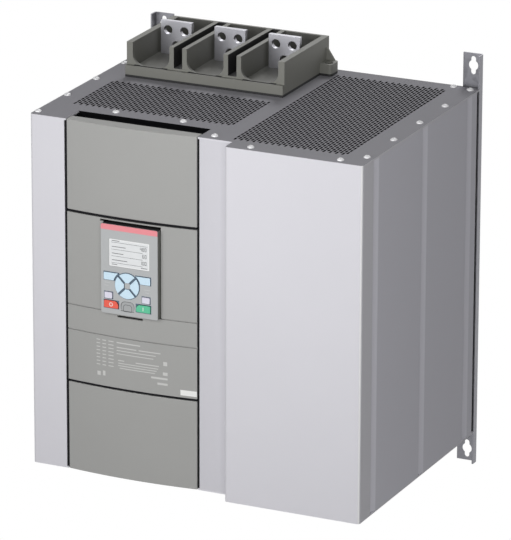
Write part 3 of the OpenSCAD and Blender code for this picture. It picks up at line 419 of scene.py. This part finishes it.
def rounds(centres, radius, long=0.0):
    """Clockwise rings: each centre plus the radius times the cosine and sine of even steps round a turn.
    With a length, the far and near halves move apart along Y, so that the ring is a slot."""
    turn = -(np.arange(ring_steps) + 0.5) * 2 * np.pi / ring_steps
    apart = np.sign(np.sin(turn)) * max(0.0, long / 2 - radius)
    ring = np.stack([radius * np.cos(turn), radius * np.sin(turn) + apart], axis=1)
    return centres[:, None, :] + ring


def staggered(low, high):
    """Hole centres in even rows from low to high; every second row is set over by half a pitch."""
    row = np.arange(low[1], high[1], hole_row)
    across, along = np.meshgrid(np.arange(low[0], high[0] - hole_pitch / 2, hole_pitch), row)
    across = across + (np.arange(len(row)) % 2)[:, None] * hole_pitch / 2
    return np.stack([across.ravel(), along.ravel()], axis=1)


def bend(centre, start):
    """A quarter turn of the upright bends' radius round a centre, anticlockwise from an angle in degrees."""
    turn = np.radians(start + np.linspace(0, 90, bend_steps))
    return np.array(centre) + bend_r * np.stack([np.cos(turn), np.sin(turn)], axis=1)


def punched_sheet(outline, holes, low, high):
    """A flat sheet from low to high in Z: outline and holes are triangulated in plan, the triangles that have
    all three corners on one hole are left out, both faces are drawn, and every edge gets a wall."""
    loops = [outline, *holes]
    size = np.array([len(loop) for loop in loops])
    last = np.cumsum(size) - 1
    owner = np.repeat(np.arange(len(loops)), size)
    plan = np.concatenate(loops)
    here = np.arange(len(plan))
    after = here + 1
    after[last] = last - size + 1
    edges = np.stack([here, after], axis=1)
    _, _, triangles, origins, _, _ = delaunay_2d_cdt(plan.tolist(), edges.tolist(), [], 1, 1e-9)
    source = np.array([ids[0] for ids in origins])
    faces = source[np.array(triangles)]
    held = owner[faces]
    inside = (held[:, 0] == held[:, 1]) & (held[:, 1] == held[:, 2]) & (held[:, 0] > 0)
    faces = faces[~inside]
    first, second, third = (plan[faces[:, k]] for k in range(3))
    side = np.cross(second - first, third - first)
    faces[side < 0] = faces[side < 0][:, ::-1]
    count = len(plan)
    points = np.concatenate([np.c_[plan, np.full(count, high)], np.c_[plan, np.full(count, low)]])
    walls = np.stack([here, here + count, after + count, after], axis=1)
    return points, [*faces.tolist(), *(faces[:, ::-1] + count).tolist(), *walls.tolist()]


def block_mesh(low, high):
    """The eight corners and six faces of an upright block."""
    pick = np.array([(i & 1, i >> 1 & 1, i >> 2) for i in range(8)])
    faces = [(0, 2, 3, 1), (4, 5, 7, 6), (0, 1, 5, 4), (2, 6, 7, 3), (0, 4, 6, 2), (1, 3, 7, 5)]
    return np.where(pick, high, low), np.array(faces)


def made(name, parts, finish, body, slot, crease=35):
    """One object from a list of points and faces, shaded smooth except where its faces meet at a crease."""
    base = np.cumsum([0] + [len(points) for points, _ in parts])
    faces = [tuple(np.asarray(face) + start) for start, (_, group) in zip(base, parts) for face in group]
    mesh = bpy.data.meshes.new(name)
    mesh.from_pydata(np.concatenate([points for points, _ in parts]).tolist(), [], faces)
    mesh.polygons.foreach_set("use_smooth", np.ones(len(mesh.polygons), dtype=bool))
    mesh.set_sharp_from_angle(angle=math.radians(crease))
    mesh.materials.append(finish)
    mesh.update()
    piece = bpy.data.objects.new(name, mesh)
    scene.collection.objects.link(piece)
    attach(piece, body)
    return piece


rear_leg_y = y_high - 0.004
plate_edge = np.concatenate([
    bend((x_low + bend_r, front_y + bend_r), 180),
    [(notch_left, front_y), (notch_left, notch_back), (notch_right, notch_back), (notch_right, front_y),
     (box_x, front_y)],
    bend((box_x + bend_r, y_low + bend_r), 180),
    bend((x_high - bend_r, y_low + bend_r), 270),
    [(x_high, rear_leg_y), (x_high - sheet_t, rear_leg_y), (x_high - sheet_t, y_high),
     (x_low + sheet_t, y_high), (x_low + sheet_t, rear_leg_y), (x_low, rear_leg_y)],
])
slot_corner = np.array(((-1, -1), (-1, 1), (1, 1), (1, -1))) * bar_slot_half
bar_slots = np.stack([phase_x, np.full_like(phase_x, bar_slot_y)], axis=1)[:, None, :] + slot_corner
air_holes = np.concatenate([staggered(*field) for field in hole_fields])
plate_holes = [*rounds(air_holes, hole_r, hole_l), *bar_slots, *rounds(screw_spots, screw_hole_r)]
top_plate = made("top_plate_punched", [
    punched_sheet(plate_edge, plate_holes, plate_top - sheet_t, plate_top),
    block_mesh((notch_left, notch_back, lip_low), (notch_right, notch_back + sheet_t, plate_top - sheet_t)),
], plate_shaded_coat, "casing", node_slot["top_plate"])
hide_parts("top_plate")
top_plate.data.materials.append(hole_shade_coat)
top_plate.data.materials.append(silver_coat)
tilt = np.zeros(3 * len(top_plate.data.polygons))
middle = np.zeros_like(tilt)
top_plate.data.polygons.foreach_get("normal", tilt)
top_plate.data.polygons.foreach_get("center", middle)
upright = np.abs(tilt.reshape(-1, 3)[:, 2]) < 0.5
middle = middle.reshape(-1, 3)[:, :2]
in_fields = np.zeros(len(middle), dtype=bool)
for low, high in hole_fields:
    near = (middle > np.array(low) - field_margin) & (middle < np.array(high) + field_margin)
    in_fields |= np.all(near, axis=1)
in_recess = np.abs(middle[:, 1] - notch_back) < 0.0001
in_recess &= (middle[:, 0] > notch_left) & (middle[:, 0] < notch_right)
# Painted shade: the slots' walls in the fields and the recess lip over the covers take the near-black coat.
shaded_walls = (in_fields & upright) | in_recess
coat_index = np.where(shaded_walls, 1, 2 * (upright & ~shaded_walls))
top_plate.data.polygons.foreach_set("material_index", coat_index.astype(np.int32))


# Back pan, partition and power frame
# Sheet steel behind and inside the casing, with a plain zinc coat and its grey crystals. The pan's edges are
# painted near black as painted shade, and show as a black line beside the rails.
def zinc_coat(name, colour, edge_shade=0.0, shine=0.5):
    """Hot-dip zinc: patches of crystals a few millimetres wide that differ in grey and gloss. With the edge
    shade set to one, the faces that look neither forward nor back are painted near black, as painted shade."""
    crystals_per_metre, metal, edge_tilt = 160.0, 0.75, 0.7
    tree = Tree(bpy.data.materials.new(name))
    sockets = {"Vector": tree.place(), "Scale": crystals_per_metre}
    spangle = tree.node("ShaderNodeTexVoronoi", None, sockets, out="Color")
    grey = tree.node("ShaderNodeSeparateColor", None, {"Color": spangle})
    _, forward, _ = tree.facing()
    # Painted shade on the faces that look sideways.
    edge = (abs(forward) < edge_tilt) * edge_shade
    crystals = tree.blend(grey, linear(colour, 0.88), linear(colour))
    return tree.surface(
        Base_Color=tree.blend(edge, crystals, linear("#1C1C1F")),
        Metallic=metal - edge * metal,
        Specular_IOR_Level=shine,
        Roughness=0.34 + grey * 0.14 + edge * 0.2,
    )


zinc = zinc_coat("zinc_sheet", "#A9A9AE")
for sheet in ("partition_plate", "power_frame"):
    dressed(sheet, zinc, 0.0003)
dressed("back_pan", zinc_coat("zinc_with_painted_edge_shade", "#9A9AA0", edge_shade=1.0, shine=0.1), 0.0003)


# Wall rails
# Angles folded from zinc-coated sheet, fixed upright against the pan's back; their zinc is a darker copy that
# paints in shade.
# Each has a double keyhole near both ends, to hang on screws in the wall.
# A darker copy of the zinc: painted shade.
rail_zinc_painted_shade = zinc_coat("rail_zinc_painted_shade", "#8F8F95")
for rail in ("left_rail", "right_rail"):
    dressed(rail, rail_zinc_painted_shade, 0.0004)


# Casing screws and foot bolts
# Pan-head steel screws with a bright zinc plate, along the edges of both plates, and the hexagon bolts that
# clamp the busbars' feet.
def plated(name, colour, roughness, metal=1.0, stretch=(1, 1, 1)):
    """Electroplate: mirror metal dulled a little by fine marks, which can be drawn out along an axis."""
    tree = Tree(bpy.data.materials.new(name))
    marks = tree.noise(0.0008, 3, stretch)
    return tree.surface(
        Base_Color=tree.blend(marks, linear(colour, 0.9), linear(colour)),
        Metallic=metal,
        Roughness=roughness + marks * 0.08,
    )


def pan_screws(centres, seat):
    """Screws turned from a profile: over the dome, round the rim, under the head and down the shank. Height
    falls with the square of the radius on the dome, and a tapered cross of two slots is sunk into it."""
    head_r, rim_h, dome_h, shank_r, shank_l = 0.0042, 0.001, 0.003, 0.002, 0.007
    slot_reach, reach_taper, slot_half, slot_taper, slot_deep = 0.0023, 0.0006, 0.00062, 0.0002, 0.0013
    sides, dome_rings = 40, 15
    dome = np.linspace(0, 1, dome_rings)
    radius = np.concatenate([dome * head_r, [head_r, shank_r, shank_r, 0]])
    height = np.concatenate([rim_h + (dome_h - rim_h) * (1 - dome ** 2), [0, 0, -shank_l, -shank_l]])
    turn = np.arange(sides) * 2 * np.pi / sides
    across, along = radius[:, None] * np.cos(turn), radius[:, None] * np.sin(turn)
    longer, shorter = np.maximum(np.abs(across), np.abs(along)), np.minimum(np.abs(across), np.abs(along))
    reach = np.clip((slot_reach - longer) / reach_taper, 0, 1)
    slot = np.clip((slot_half - shorter) / slot_taper, 0, 1)
    on_dome = np.arange(len(radius))[:, None] < dome_rings
    sunk = np.where(on_dome, slot_deep * reach * slot, 0)
    one = np.stack([across, along, height[:, None] - sunk], axis=2).reshape(-1, 3)
    row, step = np.meshgrid(np.arange(len(radius) - 1) * sides, np.arange(sides), indexing="ij")
    after = (step + 1) % sides
    below = row + sides
    quads = np.stack([row + step, below + step, below + after, row + after], axis=2).reshape(-1, 4)
    up = [(one + (x, y, seat), quads) for x, y in centres]
    down = [(one * (1, -1, -1) + (x, y, -seat), quads) for x, y in centres]
    return up + down


screw_zinc = plated("bright_zinc_plate", "#F4F4F6", 0.22, 0.12)
screws = made("casing_screws_crossed", pan_screws(screw_spots, plate_top), screw_zinc, "casing",
              node_slot["casing_screws"], 50)
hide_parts("casing_screws")
dressed("foot_bolts", plated("bolt_zinc", "#C9CACD", 0.22), 0.0004)


# Cover frame
# A black moulding that carries the covers and the keypad. Its lips and ribs show in the gaps round the
# covers, and its floor in the finger recesses.
mould_grain, mould_cloud, grain_depth = 0.00045, 0.09, 0.00003


def moulded(name, colour, roughness, shine=0.5):
    """Injection-moulded plastic with a spark-eroded skin: a fine grain, and slight clouds in the colour."""
    tree = Tree(bpy.data.materials.new(name))
    skin = tree.noise(mould_grain, 2)
    cloud = tree.noise(mould_cloud, 2)
    return tree.surface(
        Base_Color=tree.blend(cloud, linear(colour, 0.95), linear(colour)),
        Roughness=roughness + skin * 0.08,
        Specular_IOR_Level=shine,
        Normal=tree.bump(skin, grain_depth),
    )


dressed("cover_frame", moulded("black_moulding", "#17171A", 0.6, 0.1), 0.0004)


# Front covers
# Three grey mouldings, bowed forward across their width. They snap on to the frame and come off by hand.
cover_grey = moulded("cover_grey", "#A3A3A1", 0.5)
for cover in ("upper_cover", "middle_cover", "lower_cover"):
    dressed(cover, cover_grey, 0.0008, 3)


# Print on the middle cover
# Rows pad-printed in pale ink, kept as plain bars and squares, and a bare white label stuck on near the right
# edge. Both follow the cover's bow.
MM = 0.001
cover_low, cover_high = (np.array(corner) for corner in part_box("middle_cover"))
cover_mid = (cover_low[0] + cover_high[0]) / 2
cover_half = (cover_high[0] - cover_low[0]) / 2
cover_bow = 0.0052
bow_r = (cover_half ** 2 + cover_bow ** 2) / (2 * cover_bow)
ink_lift, label_lift = 0.00004, 0.00008


def on_bow(bars, lift):
    """Patches on the bowed front: each bar's corners give x and z in millimetres, and y is the arc's height
    there plus a lift."""
    steps = 9
    low_x, high_x, low_z, high_z = np.array(bars).T * MM
    x = low_x[:, None] + (high_x - low_x)[:, None] * np.linspace(0, 1, steps)
    y = front_y - cover_bow + bow_r - np.sqrt(bow_r ** 2 - (x - cover_mid) ** 2) - lift
    edges = [np.stack([x, y, np.broadcast_to(z[:, None], x.shape)], axis=2) for z in (low_z, high_z)]
    base = np.arange(len(x))[:, None] * 2 * steps + np.arange(steps - 1)
    quads = np.stack([base, base + 1, base + steps + 1, base + steps], axis=2).reshape(-1, 4)
    return np.stack(edges, axis=1).reshape(-1, 3), quads


print_rows = [(x, x + w, z - 1.1, z) for z in (-46.6, -51, -55.4, -59.8, -64.2, -68.6, -73, -77.4)
              for x, w in ((-130.2, 5), (-122.2, 5), (-114.2, 7))]
print_rows += [(x, x + w, z - h, z) for x, w, z, h in (
    (-103.2, 31, -46.6, 1.4), (-103.2, 26, -52.6, 1.2), (-74.2, 28, -52.6, 1.2), (-103.2, 51, -56.6, 1),
    (-103.2, 48, -60.6, 1), (-101.2, 8, -68.6, 1.2), (-78.2, 30, -68.6, 1.2), (-101.2, 52, -72.1, 1),
    (-101.2, 50, -75.1, 1), (-99.2, 46, -78.1, 1), (-129.2, 4.5, -86.6, 5), (-121.7, 3.4, -85.2, 6),
    (-42.7, 5, -62.6, 5), (-43.2, 6, -75.6, 4), (-58.2, 21, -82.6, 2.4), (-50.2, 13, -89.2, 2.6))]
label_edge = (-21.2, -0.9, -101.2, -94.5)
pale_ink = moulded("pale_ink", "#CBCBC9", 0.5)
label_white = moulded("label_white", "#F4F4F2", 0.4)
made("cover_print", [on_bow(print_rows, ink_lift)], pale_ink, "casing", node_slot["middle_cover"])
made("blank_label", [on_bow([label_edge], label_lift)], label_white, "casing", node_slot["middle_cover"])


# Terminal shrouds
# Deep grey mouldings screwed on the plates, with a pocket round each busbar. Painted shade makes the pockets
# darker, and paints black the gaps between them, the slits at their feet and a band along the foot.
gap_middle = (phase_x[:2] + phase_x[1:]) / 2
gap_half = 0.0056
gap_floor = plate_top + 0.0168
plinth_top = plate_top + 0.0145
pocket_half, pocket_floor, pocket_back = 0.0244, plate_top + 0.0112, -0.0178
slit_half, slit_front, slit_back, slit_top = 0.0221, -0.1446, -0.1414, plinth_top + 0.0007
foot_shade_top = plate_top + 0.003


def shroud_moulding(name):
    """Grey moulded skin. Painted shade makes it darker in the pockets, and black in the gaps between them, in
    the slits at their feet and over a low band at the foot."""
    tree = Tree(bpy.data.materials.new(name))
    across, deep, up = tree.axes()
    high = abs(up)
    skin = tree.noise(mould_grain, 2)
    cloud = tree.noise(mould_cloud, 2)
    # Painted shade: black in the gaps, the slits and a band at the foot, and darker in the pockets.
    strip = (abs(across - gap_middle[0]) & abs(across - gap_middle[1])) < gap_half
    off_phase = abs(across - phase_x[0]) & abs(across - phase_x[1]) & abs(across - phase_x[2])
    slit = (off_phase < slit_half) & (deep > slit_front) & (deep < slit_back) & (high < slit_top)
    pocket = (off_phase < pocket_half) & (deep < pocket_back) & (high > pocket_floor) & (deep > slit_back)
    dark = (strip & (high > gap_floor)) | slit | (high < foot_shade_top)
    grey = tree.blend(cloud, linear("#7A7A74"), linear("#82827C"))
    grey = tree.blend(pocket, grey, linear("#6A6A65"))
    return tree.surface(
        Base_Color=tree.blend(dark, grey, linear("#1B1B1C")),
        Roughness=0.5 + skin * 0.08,
        Normal=tree.bump(skin, grain_depth),
    )


shroud_grey = shroud_moulding("shroud_grey")
for shroud in ("line_shroud", "load_shroud"):
    dressed(shroud, shroud_grey, 0.0005)


# Busbars
# Copper strip, bent twice, tin-plated and drawn along its length. Each is clamped on a thyristor block and
# has three punched bolt holes at its free end. The links to the contactor are of the same strip.
tin_plate = plated("tin_plate", "#B6B6BC", 0.34, stretch=(4, 4, 0.15))
for end in ("line", "load"):
    for phase in (1, 2, 3):
        dressed(f"{end}_busbar_{phase}", tin_plate, 0.0005)
dressed("bypass_links", tin_plate, 0.0003)


# Keypad housing
# A small moulding with a pale grey front and dark blue rims round the keys. Its body behind the front is
# painted dark grey and its top black, as painted shade. It plugs into the cover frame, and its circuit board
# lies between the two shells.
pad_left, pad_top, pad_face = -0.1196, 0.0997, -0.3435
pad_grain = 0.0004
soft_keys = ((4, 58.8, 23, 67.8), (45.4, 58.8, 64.4, 67.8))
small_keys = ((4.8, 83.2, 14.8, 90.8), (53.6, 83.2, 63.6, 90.8))
run_keys = ((4, 93.4, 22.6, 102.4), (45.8, 93.4, 64.4, 102.4))
nav_x, nav_z = pad_left + 34.2 * MM, pad_top - 72.8 * MM
nav_r, hub_r = 15.6 * MM, 4.4 * MM
flap_edge, flap_round = (26.2, 92.8, 42.6, 104.2), 0.005
key_rim, arch_rim = 0.0009, 0.0007
front_t, top_shade_band = 0.0011, 0.0008


def off_box(across, up, corners, round_r=0.0):
    """How far a point lies outside a box given by its corners on the pad in millimetres; negative inside."""
    u0, v0, u1, v1 = (number * MM for number in corners)
    centre_x, centre_z = pad_left + (u0 + u1) / 2, pad_top - (v0 + v1) / 2
    wide = abs(across - centre_x) - ((u1 - u0) / 2 - round_r)
    high = abs(up - centre_z) - ((v1 - v0) / 2 - round_r)
    if not round_r:
        return wide | high
    corner = ((wide | 0.0) ** 2 + (high | 0.0) ** 2) ** 0.5
    return corner + ((wide | high) & 0.0) - round_r


def pad_moulding(name):
    """Grain and colour of the housing: rims close round each key, and painted shade on the body behind the
    front, dark grey on its sides and black on its top.
    """
    tree = Tree(bpy.data.materials.new(name))
    across, deep, up = tree.axes()
    skin = tree.noise(pad_grain, 2)
    rim = off_box(across, up, soft_keys[0]) < key_rim
    for key in (soft_keys[1], *small_keys, *run_keys):
        rim = rim | (off_box(across, up, key) < key_rim)
    far = ((across - nav_x) ** 2 + (up - nav_z) ** 2) ** 0.5
    ring = (far < nav_r + key_rim) & (far > hub_r)
    arch = off_box(across, up, flap_edge, flap_round) < arch_rim
    face = tree.blend(rim | ring, linear("#B3B5B6"), linear("#56697A"))
    face = tree.blend(arch, face, linear("#6E7072"))
    # Painted shade: the body's sides dark grey and a band on its top black.
    body = tree.blend(up > pad_top - top_shade_band, linear("#6A6B65"), linear("#1B1B1C"))
    return tree.surface(
        Base_Color=tree.blend(deep > pad_face + front_t, face, body),
        Roughness=0.44 + skin * 0.1,
        Normal=tree.bump(skin, grain_depth),
    )


dressed("keypad_housing", pad_moulding("keypad_two_shot"), 0.0006, 3)
dressed("keypad_rear_shell", moulded("keypad_dark", "#6A6B65", 0.5), 0.0004)
dressed("keypad_stripe", moulded("stripe_red", "#EC9198", 0.4), 0.0001)


def circuit(name, parts_y):
    """Green solder resist with paler tracks, which are narrow bands that a coarse noise breaks up, pads of
    tin in a grid, and dark cases on whatever stands behind the plane parts_y."""
    track_pitch, track_w, pad_pitch, pad_w = 0.0022, 0.0007, 0.0051, 0.0012
    tree = Tree(bpy.data.materials.new(name))
    across, deep, up = tree.axes()
    patch = tree.noise(0.012, 1)
    level = (up % track_pitch < track_w) & (patch > 0.52)
    upright = (across % track_pitch < track_w) & (patch < 0.42)
    pads = (across % pad_pitch < pad_w) & (up % pad_pitch < pad_w) & (patch > 0.44)
    green = tree.blend(level | upright, linear("#2A5E3C"), linear("#4A8A5C"))
    green = tree.blend(pads, green, linear("#C9C6B4"))
    return tree.surface(
        Base_Color=tree.blend(deep > parts_y, green, linear("#242428")),
        Roughness=0.3 + patch * 0.2,
    )


pad_board_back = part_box("keypad_board")[1][1]
dressed("keypad_board", circuit("keypad_circuit", pad_board_back + 0.0001), 0.0001)


# Display
# A grey glass under a clear pane, let into the keypad's front and framed in white. Thin rules, bars and
# generic figures stand for its readings.
lcd_edge = (10.4, 17.4, 62.8, 50.8)
lcd_border = 0.0013
lcd_rows = (21.4, 30, 38.2, 46.4)
rule_half = 0.2


def display_glass(name):
    """White border, grey glass and thin dark rules at each row."""
    tree = Tree(bpy.data.materials.new(name))
    across, _, up = tree.axes()
    border = off_box(across, up, lcd_edge) > -lcd_border
    rule = off_box(across, up, (13.4, lcd_rows[0] - rule_half, 60.4, lcd_rows[0] + rule_half)) < 0
    for row in lcd_rows[1:]:
        rule = rule | (off_box(across, up, (13.4, row - rule_half, 54, row + rule_half)) < 0)
    haze = tree.noise(0.006, 2)
    glass = tree.blend(haze, linear("#E0E2E4"), linear("#E8EAEB"))
    ruled = tree.blend(rule, glass, linear("#54575C"))
    return tree.surface(
        Base_Color=tree.blend(border, ruled, linear("#F3F4F4")),
        Roughness=0.16 + haze * 0.06,
    )


def pad_patches(boxes, lift):
    """Flat patches on the pad's front: corners across and down from its top left, raised to the viewer."""
    u0, v0, u1, v1 = np.array(boxes).T * MM
    x = pad_left + np.stack([u0, u1, u1, u0], axis=1)
    z = pad_top - np.stack([v1, v1, v0, v0], axis=1)
    points = np.stack([x, np.full_like(x, pad_face - lift), z], axis=2).reshape(-1, 3)
    return points, np.arange(len(points)).reshape(-1, 4)


def figures(text, right, top, high=4.4):
    """Seven-bar figures that end at right: each lit bar is a slim box in a cell half as wide as high."""
    wide, bar, step = high / 2, high / 9, high * 0.68
    bars = ((0, 0, wide, bar), (wide - bar, 0, wide, high / 2), (wide - bar, high / 2, wide, high),
            (0, high - bar, wide, high), (0, high / 2, bar, high), (0, 0, bar, high / 2),
            (0, (high - bar) / 2, wide, (high + bar) / 2))
    lit = {"0": "012345", "1": "12", "2": "01643", "3": "01623", "4": "5612", "5": "05623", "6": "054326",
           "7": "012", "8": "0123456", "9": "012356"}
    left = right - len(text) * step
    return [(left + place * step + bars[int(k)][0], top + bars[int(k)][1],
             left + place * step + bars[int(k)][2], top + bars[int(k)][3])
            for place, figure in enumerate(text) for k in lit[figure]]


dressed("display_module", moulded("display_body", "#3A3D40", 0.4), 0.0002)
dressed("display_window", display_glass("display_glass"), 0.0001)
mark_lift = 0.00003
pane_lift = pad_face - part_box("display_window")[0][1] + mark_lift
readings = figures("480", 59.8, 23.2) + figures("60", 59.8, 31.6) + figures("100", 59.8, 40)
readings += [(14, 19, 24, 19.7), (14, 26.2, 32, 26.9), (14, 34.4, 29, 35.1), (14, 42.6, 34, 43.3),
             (14, 48, 21, 48.7), (52, 48, 60, 48.7)]
lcd_ink = moulded("lcd_ink", "#3C3F44", 0.35)
made("display_readings", [pad_patches(readings, pane_lift)], lcd_ink, "casing", node_slot["display_window"])


# Keys and flap
# Silicone rubber caps, moulded in mirrored pairs round a four-way rocker, whose stems press on the board.
# Below them a moulded flap swings on two pins over the service port.
key_shade_depth = 0.0008


def rubber(name, face, edge):
    """Moulded silicone: a pale face, painted shade in the edge colour on its sides near the housing, and a
    soft mottle.
    """
    tree = Tree(bpy.data.materials.new(name))
    _, deep, _ = tree.axes()
    mottle = tree.noise(0.0011, 3)
    cap = tree.blend(mottle, linear(face), linear(face, 1.12))
    # The edge colour near the housing is painted shade.
    return tree.surface(
        Base_Color=tree.blend(deep > pad_face - key_shade_depth, cap, linear(edge)),
        Roughness=0.55 + mottle * 0.1,
        Normal=tree.bump(mottle, 0.00008),
    )


key_blue = rubber("key_blue", "#CBE3F2", "#56697A")
key_lilac = rubber("key_lilac", "#DAD8E6", "#77758A")
for key in ("soft_key_left", "soft_key_right", "up_key", "down_key", "left_key", "right_key"):
    dressed(key, key_blue, 0.0004)
for key in ("small_key_left", "small_key_right"):
    dressed(key, key_lilac, 0.0004)
dressed("stop_key", rubber("key_red", "#E45F4E", "#6E2A24"), 0.0005)
dressed("start_key", rubber("key_green", "#5CBD95", "#25584A"), 0.0005)


def flap_moulding(name):
    """The flap's grey skin with the darker line of its finger arch."""
    finger_arch, arch_round, line_half = (29, 96.2, 39.8, 112.8), 0.003, 0.0004
    tree = Tree(bpy.data.materials.new(name))
    across, _, up = tree.axes()
    skin = tree.noise(pad_grain, 2)
    line = abs(off_box(across, up, finger_arch, arch_round)) < line_half
    return tree.surface(
        Base_Color=tree.blend(line, linear("#A6A8A9"), linear("#66686A")),
        Roughness=0.48 + skin * 0.1,
        Normal=tree.bump(skin, grain_depth),
    )


dressed("port_flap", flap_moulding("flap_grey"), 0.0003)
dressed("port_socket", plated("tinned_shell", "#C6C8CA", 0.3), 0.0001)
cap_lift = 0.0012 + mark_lift


def stop_ring(centre, inner, outer):
    """A flat ring on the stop key: two circles of points about its middle, joined by quads."""
    steps = 32
    turn = np.arange(steps) * 2 * np.pi / steps
    radius = np.array((inner, outer))[:, None] * MM
    x = pad_left + centre[0] * MM + radius * np.cos(turn)
    z = pad_top - centre[1] * MM + radius * np.sin(turn)
    points = np.stack([x, np.full_like(x, pad_face - cap_lift), z], axis=2).reshape(-1, 3)
    step = np.arange(steps)
    after = (step + 1) % steps
    return points, np.stack([step, step + steps, after + steps, after], axis=1)


mark_white = moulded("mark_white", "#F2F2F0", 0.5)
pad_ink = moulded("pad_ink", "#CDCECF", 0.5)
stop_mark = stop_ring((13.3, 97.9), 1.7, 2.4)
start_mark = pad_patches([(54.7, 95.6, 55.5, 100.2)], cap_lift)
side_marks = [(4.6, 71.4, 11.4, 71.9), (4.6, 75, 9.4, 75.5), (56, 74, 64, 74.5), (57.4, 77.4, 62.6, 77.9)]
made("stop_mark", [stop_mark], mark_white, "stop_key", node_slot["stop_key"])
made("start_mark", [start_mark], mark_white, "start_key", node_slot["start_key"])
made("pad_marks", [pad_patches(side_marks, mark_lift)], pad_ink, "casing", node_slot["keypad_housing"])


# Power section
# Extruded aluminium heat sinks, each with a black thyristor block screwed on by its nickel-plated foot, and
# ring cores cast in blue resin round the load bars.
sink_metal = plated("extruded_aluminium", "#C4C5C8", 0.4, stretch=(4, 4, 0.1))
block_front, block_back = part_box("thyristor_block_1")[0][1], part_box("line_busbar_1")[0][1]
foot_t, contact_t, barrier_half = 0.0035, 0.0058, 0.006


def block_resin(name):
    """Black filled resin, with plated metal on the foot plate and on the two pads under the busbars."""
    tree = Tree(bpy.data.materials.new(name))
    _, deep, up = tree.axes()
    skin = tree.noise(0.0006, 2)
    contacts = (deep > block_back - contact_t) & (abs(up) > barrier_half)
    plate = contacts | (deep < block_front + foot_t)
    return tree.surface(
        Base_Color=tree.blend(plate, linear("#2C2C30"), linear("#C2C2C4")),
        Metallic=plate * 0.9,
        Roughness=0.46 - plate * 0.14 + skin * 0.08,
        Normal=tree.bump(skin, grain_depth),
    )


block_black = block_resin("block_resin")
for phase in (1, 2, 3):
    dressed(f"heat_sink_{phase}", sink_metal, 0.0002)
    dressed(f"thyristor_block_{phase}", block_black, 0.0006)
dressed("current_transformers", moulded("cast_resin", "#2A3D63", 0.35), 0.0006)


# Fans
# Two axial fans in black moulded frames, screwed on the bottom plate. Their bladed rotors blow up through the
# heat sinks.
fan_black = moulded("fan_black", "#26262A", 0.5)
for fan in (1, 2):
    dressed(f"fan_frame_{fan}", fan_black, 0.0005)
    dressed(f"fan_rotor_{fan}", fan_black, 0.0002)


# Bypass contactor
# A cream moulded base that stands on the back pan, with a wound coil in its middle. A black armature slides
# in front of the coil and carries the moving contacts.
coil_low, coil_high = (np.array(corner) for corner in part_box("contactor_coil"))
coil_middle = (coil_low[1] + coil_high[1]) / 2
winding_half = (coil_high[1] - coil_low[1]) / 2 - 0.0031
wire_pitch = 0.001


def wound_coil(name):
    """Enamelled copper in turns a millimetre apart, between pale bobbin flanges at the two ends."""
    tree = Tree(bpy.data.materials.new(name))
    _, deep, _ = tree.axes()
    turn = abs(deep % wire_pitch - wire_pitch / 2) * (2 / wire_pitch)
    ends = abs(deep - coil_middle) > winding_half
    copper = tree.blend(turn, linear("#A05A2C"), linear("#7A3E1C"))
    return tree.surface(
        Base_Color=tree.blend(ends, copper, linear("#DAD5C6")),
        Roughness=0.34 + ends * 0.2,
        Normal=tree.bump(turn, 0.0002),
    )


dressed("contactor_base", moulded("contactor_cream", "#D9D6CC", 0.5), 0.0008)
dressed("contactor_coil", wound_coil("wound_copper"), 0.0006)
dressed("contactor_armature", moulded("armature_black", "#2B2B2E", 0.5), 0.0005)


# Control side
# The control board, a green glass laminate with its chips, fixed on the back of the cover frame, and the row
# of moulded wire terminals behind the upper cover.
board_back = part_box("control_board")[0][1] + 0.0017
dressed("control_board", circuit("control_circuit", board_back), 0.0002)
dressed("control_terminals", moulded("terminal_green", "#4A7F58", 0.5), 0.0003)


low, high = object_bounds()
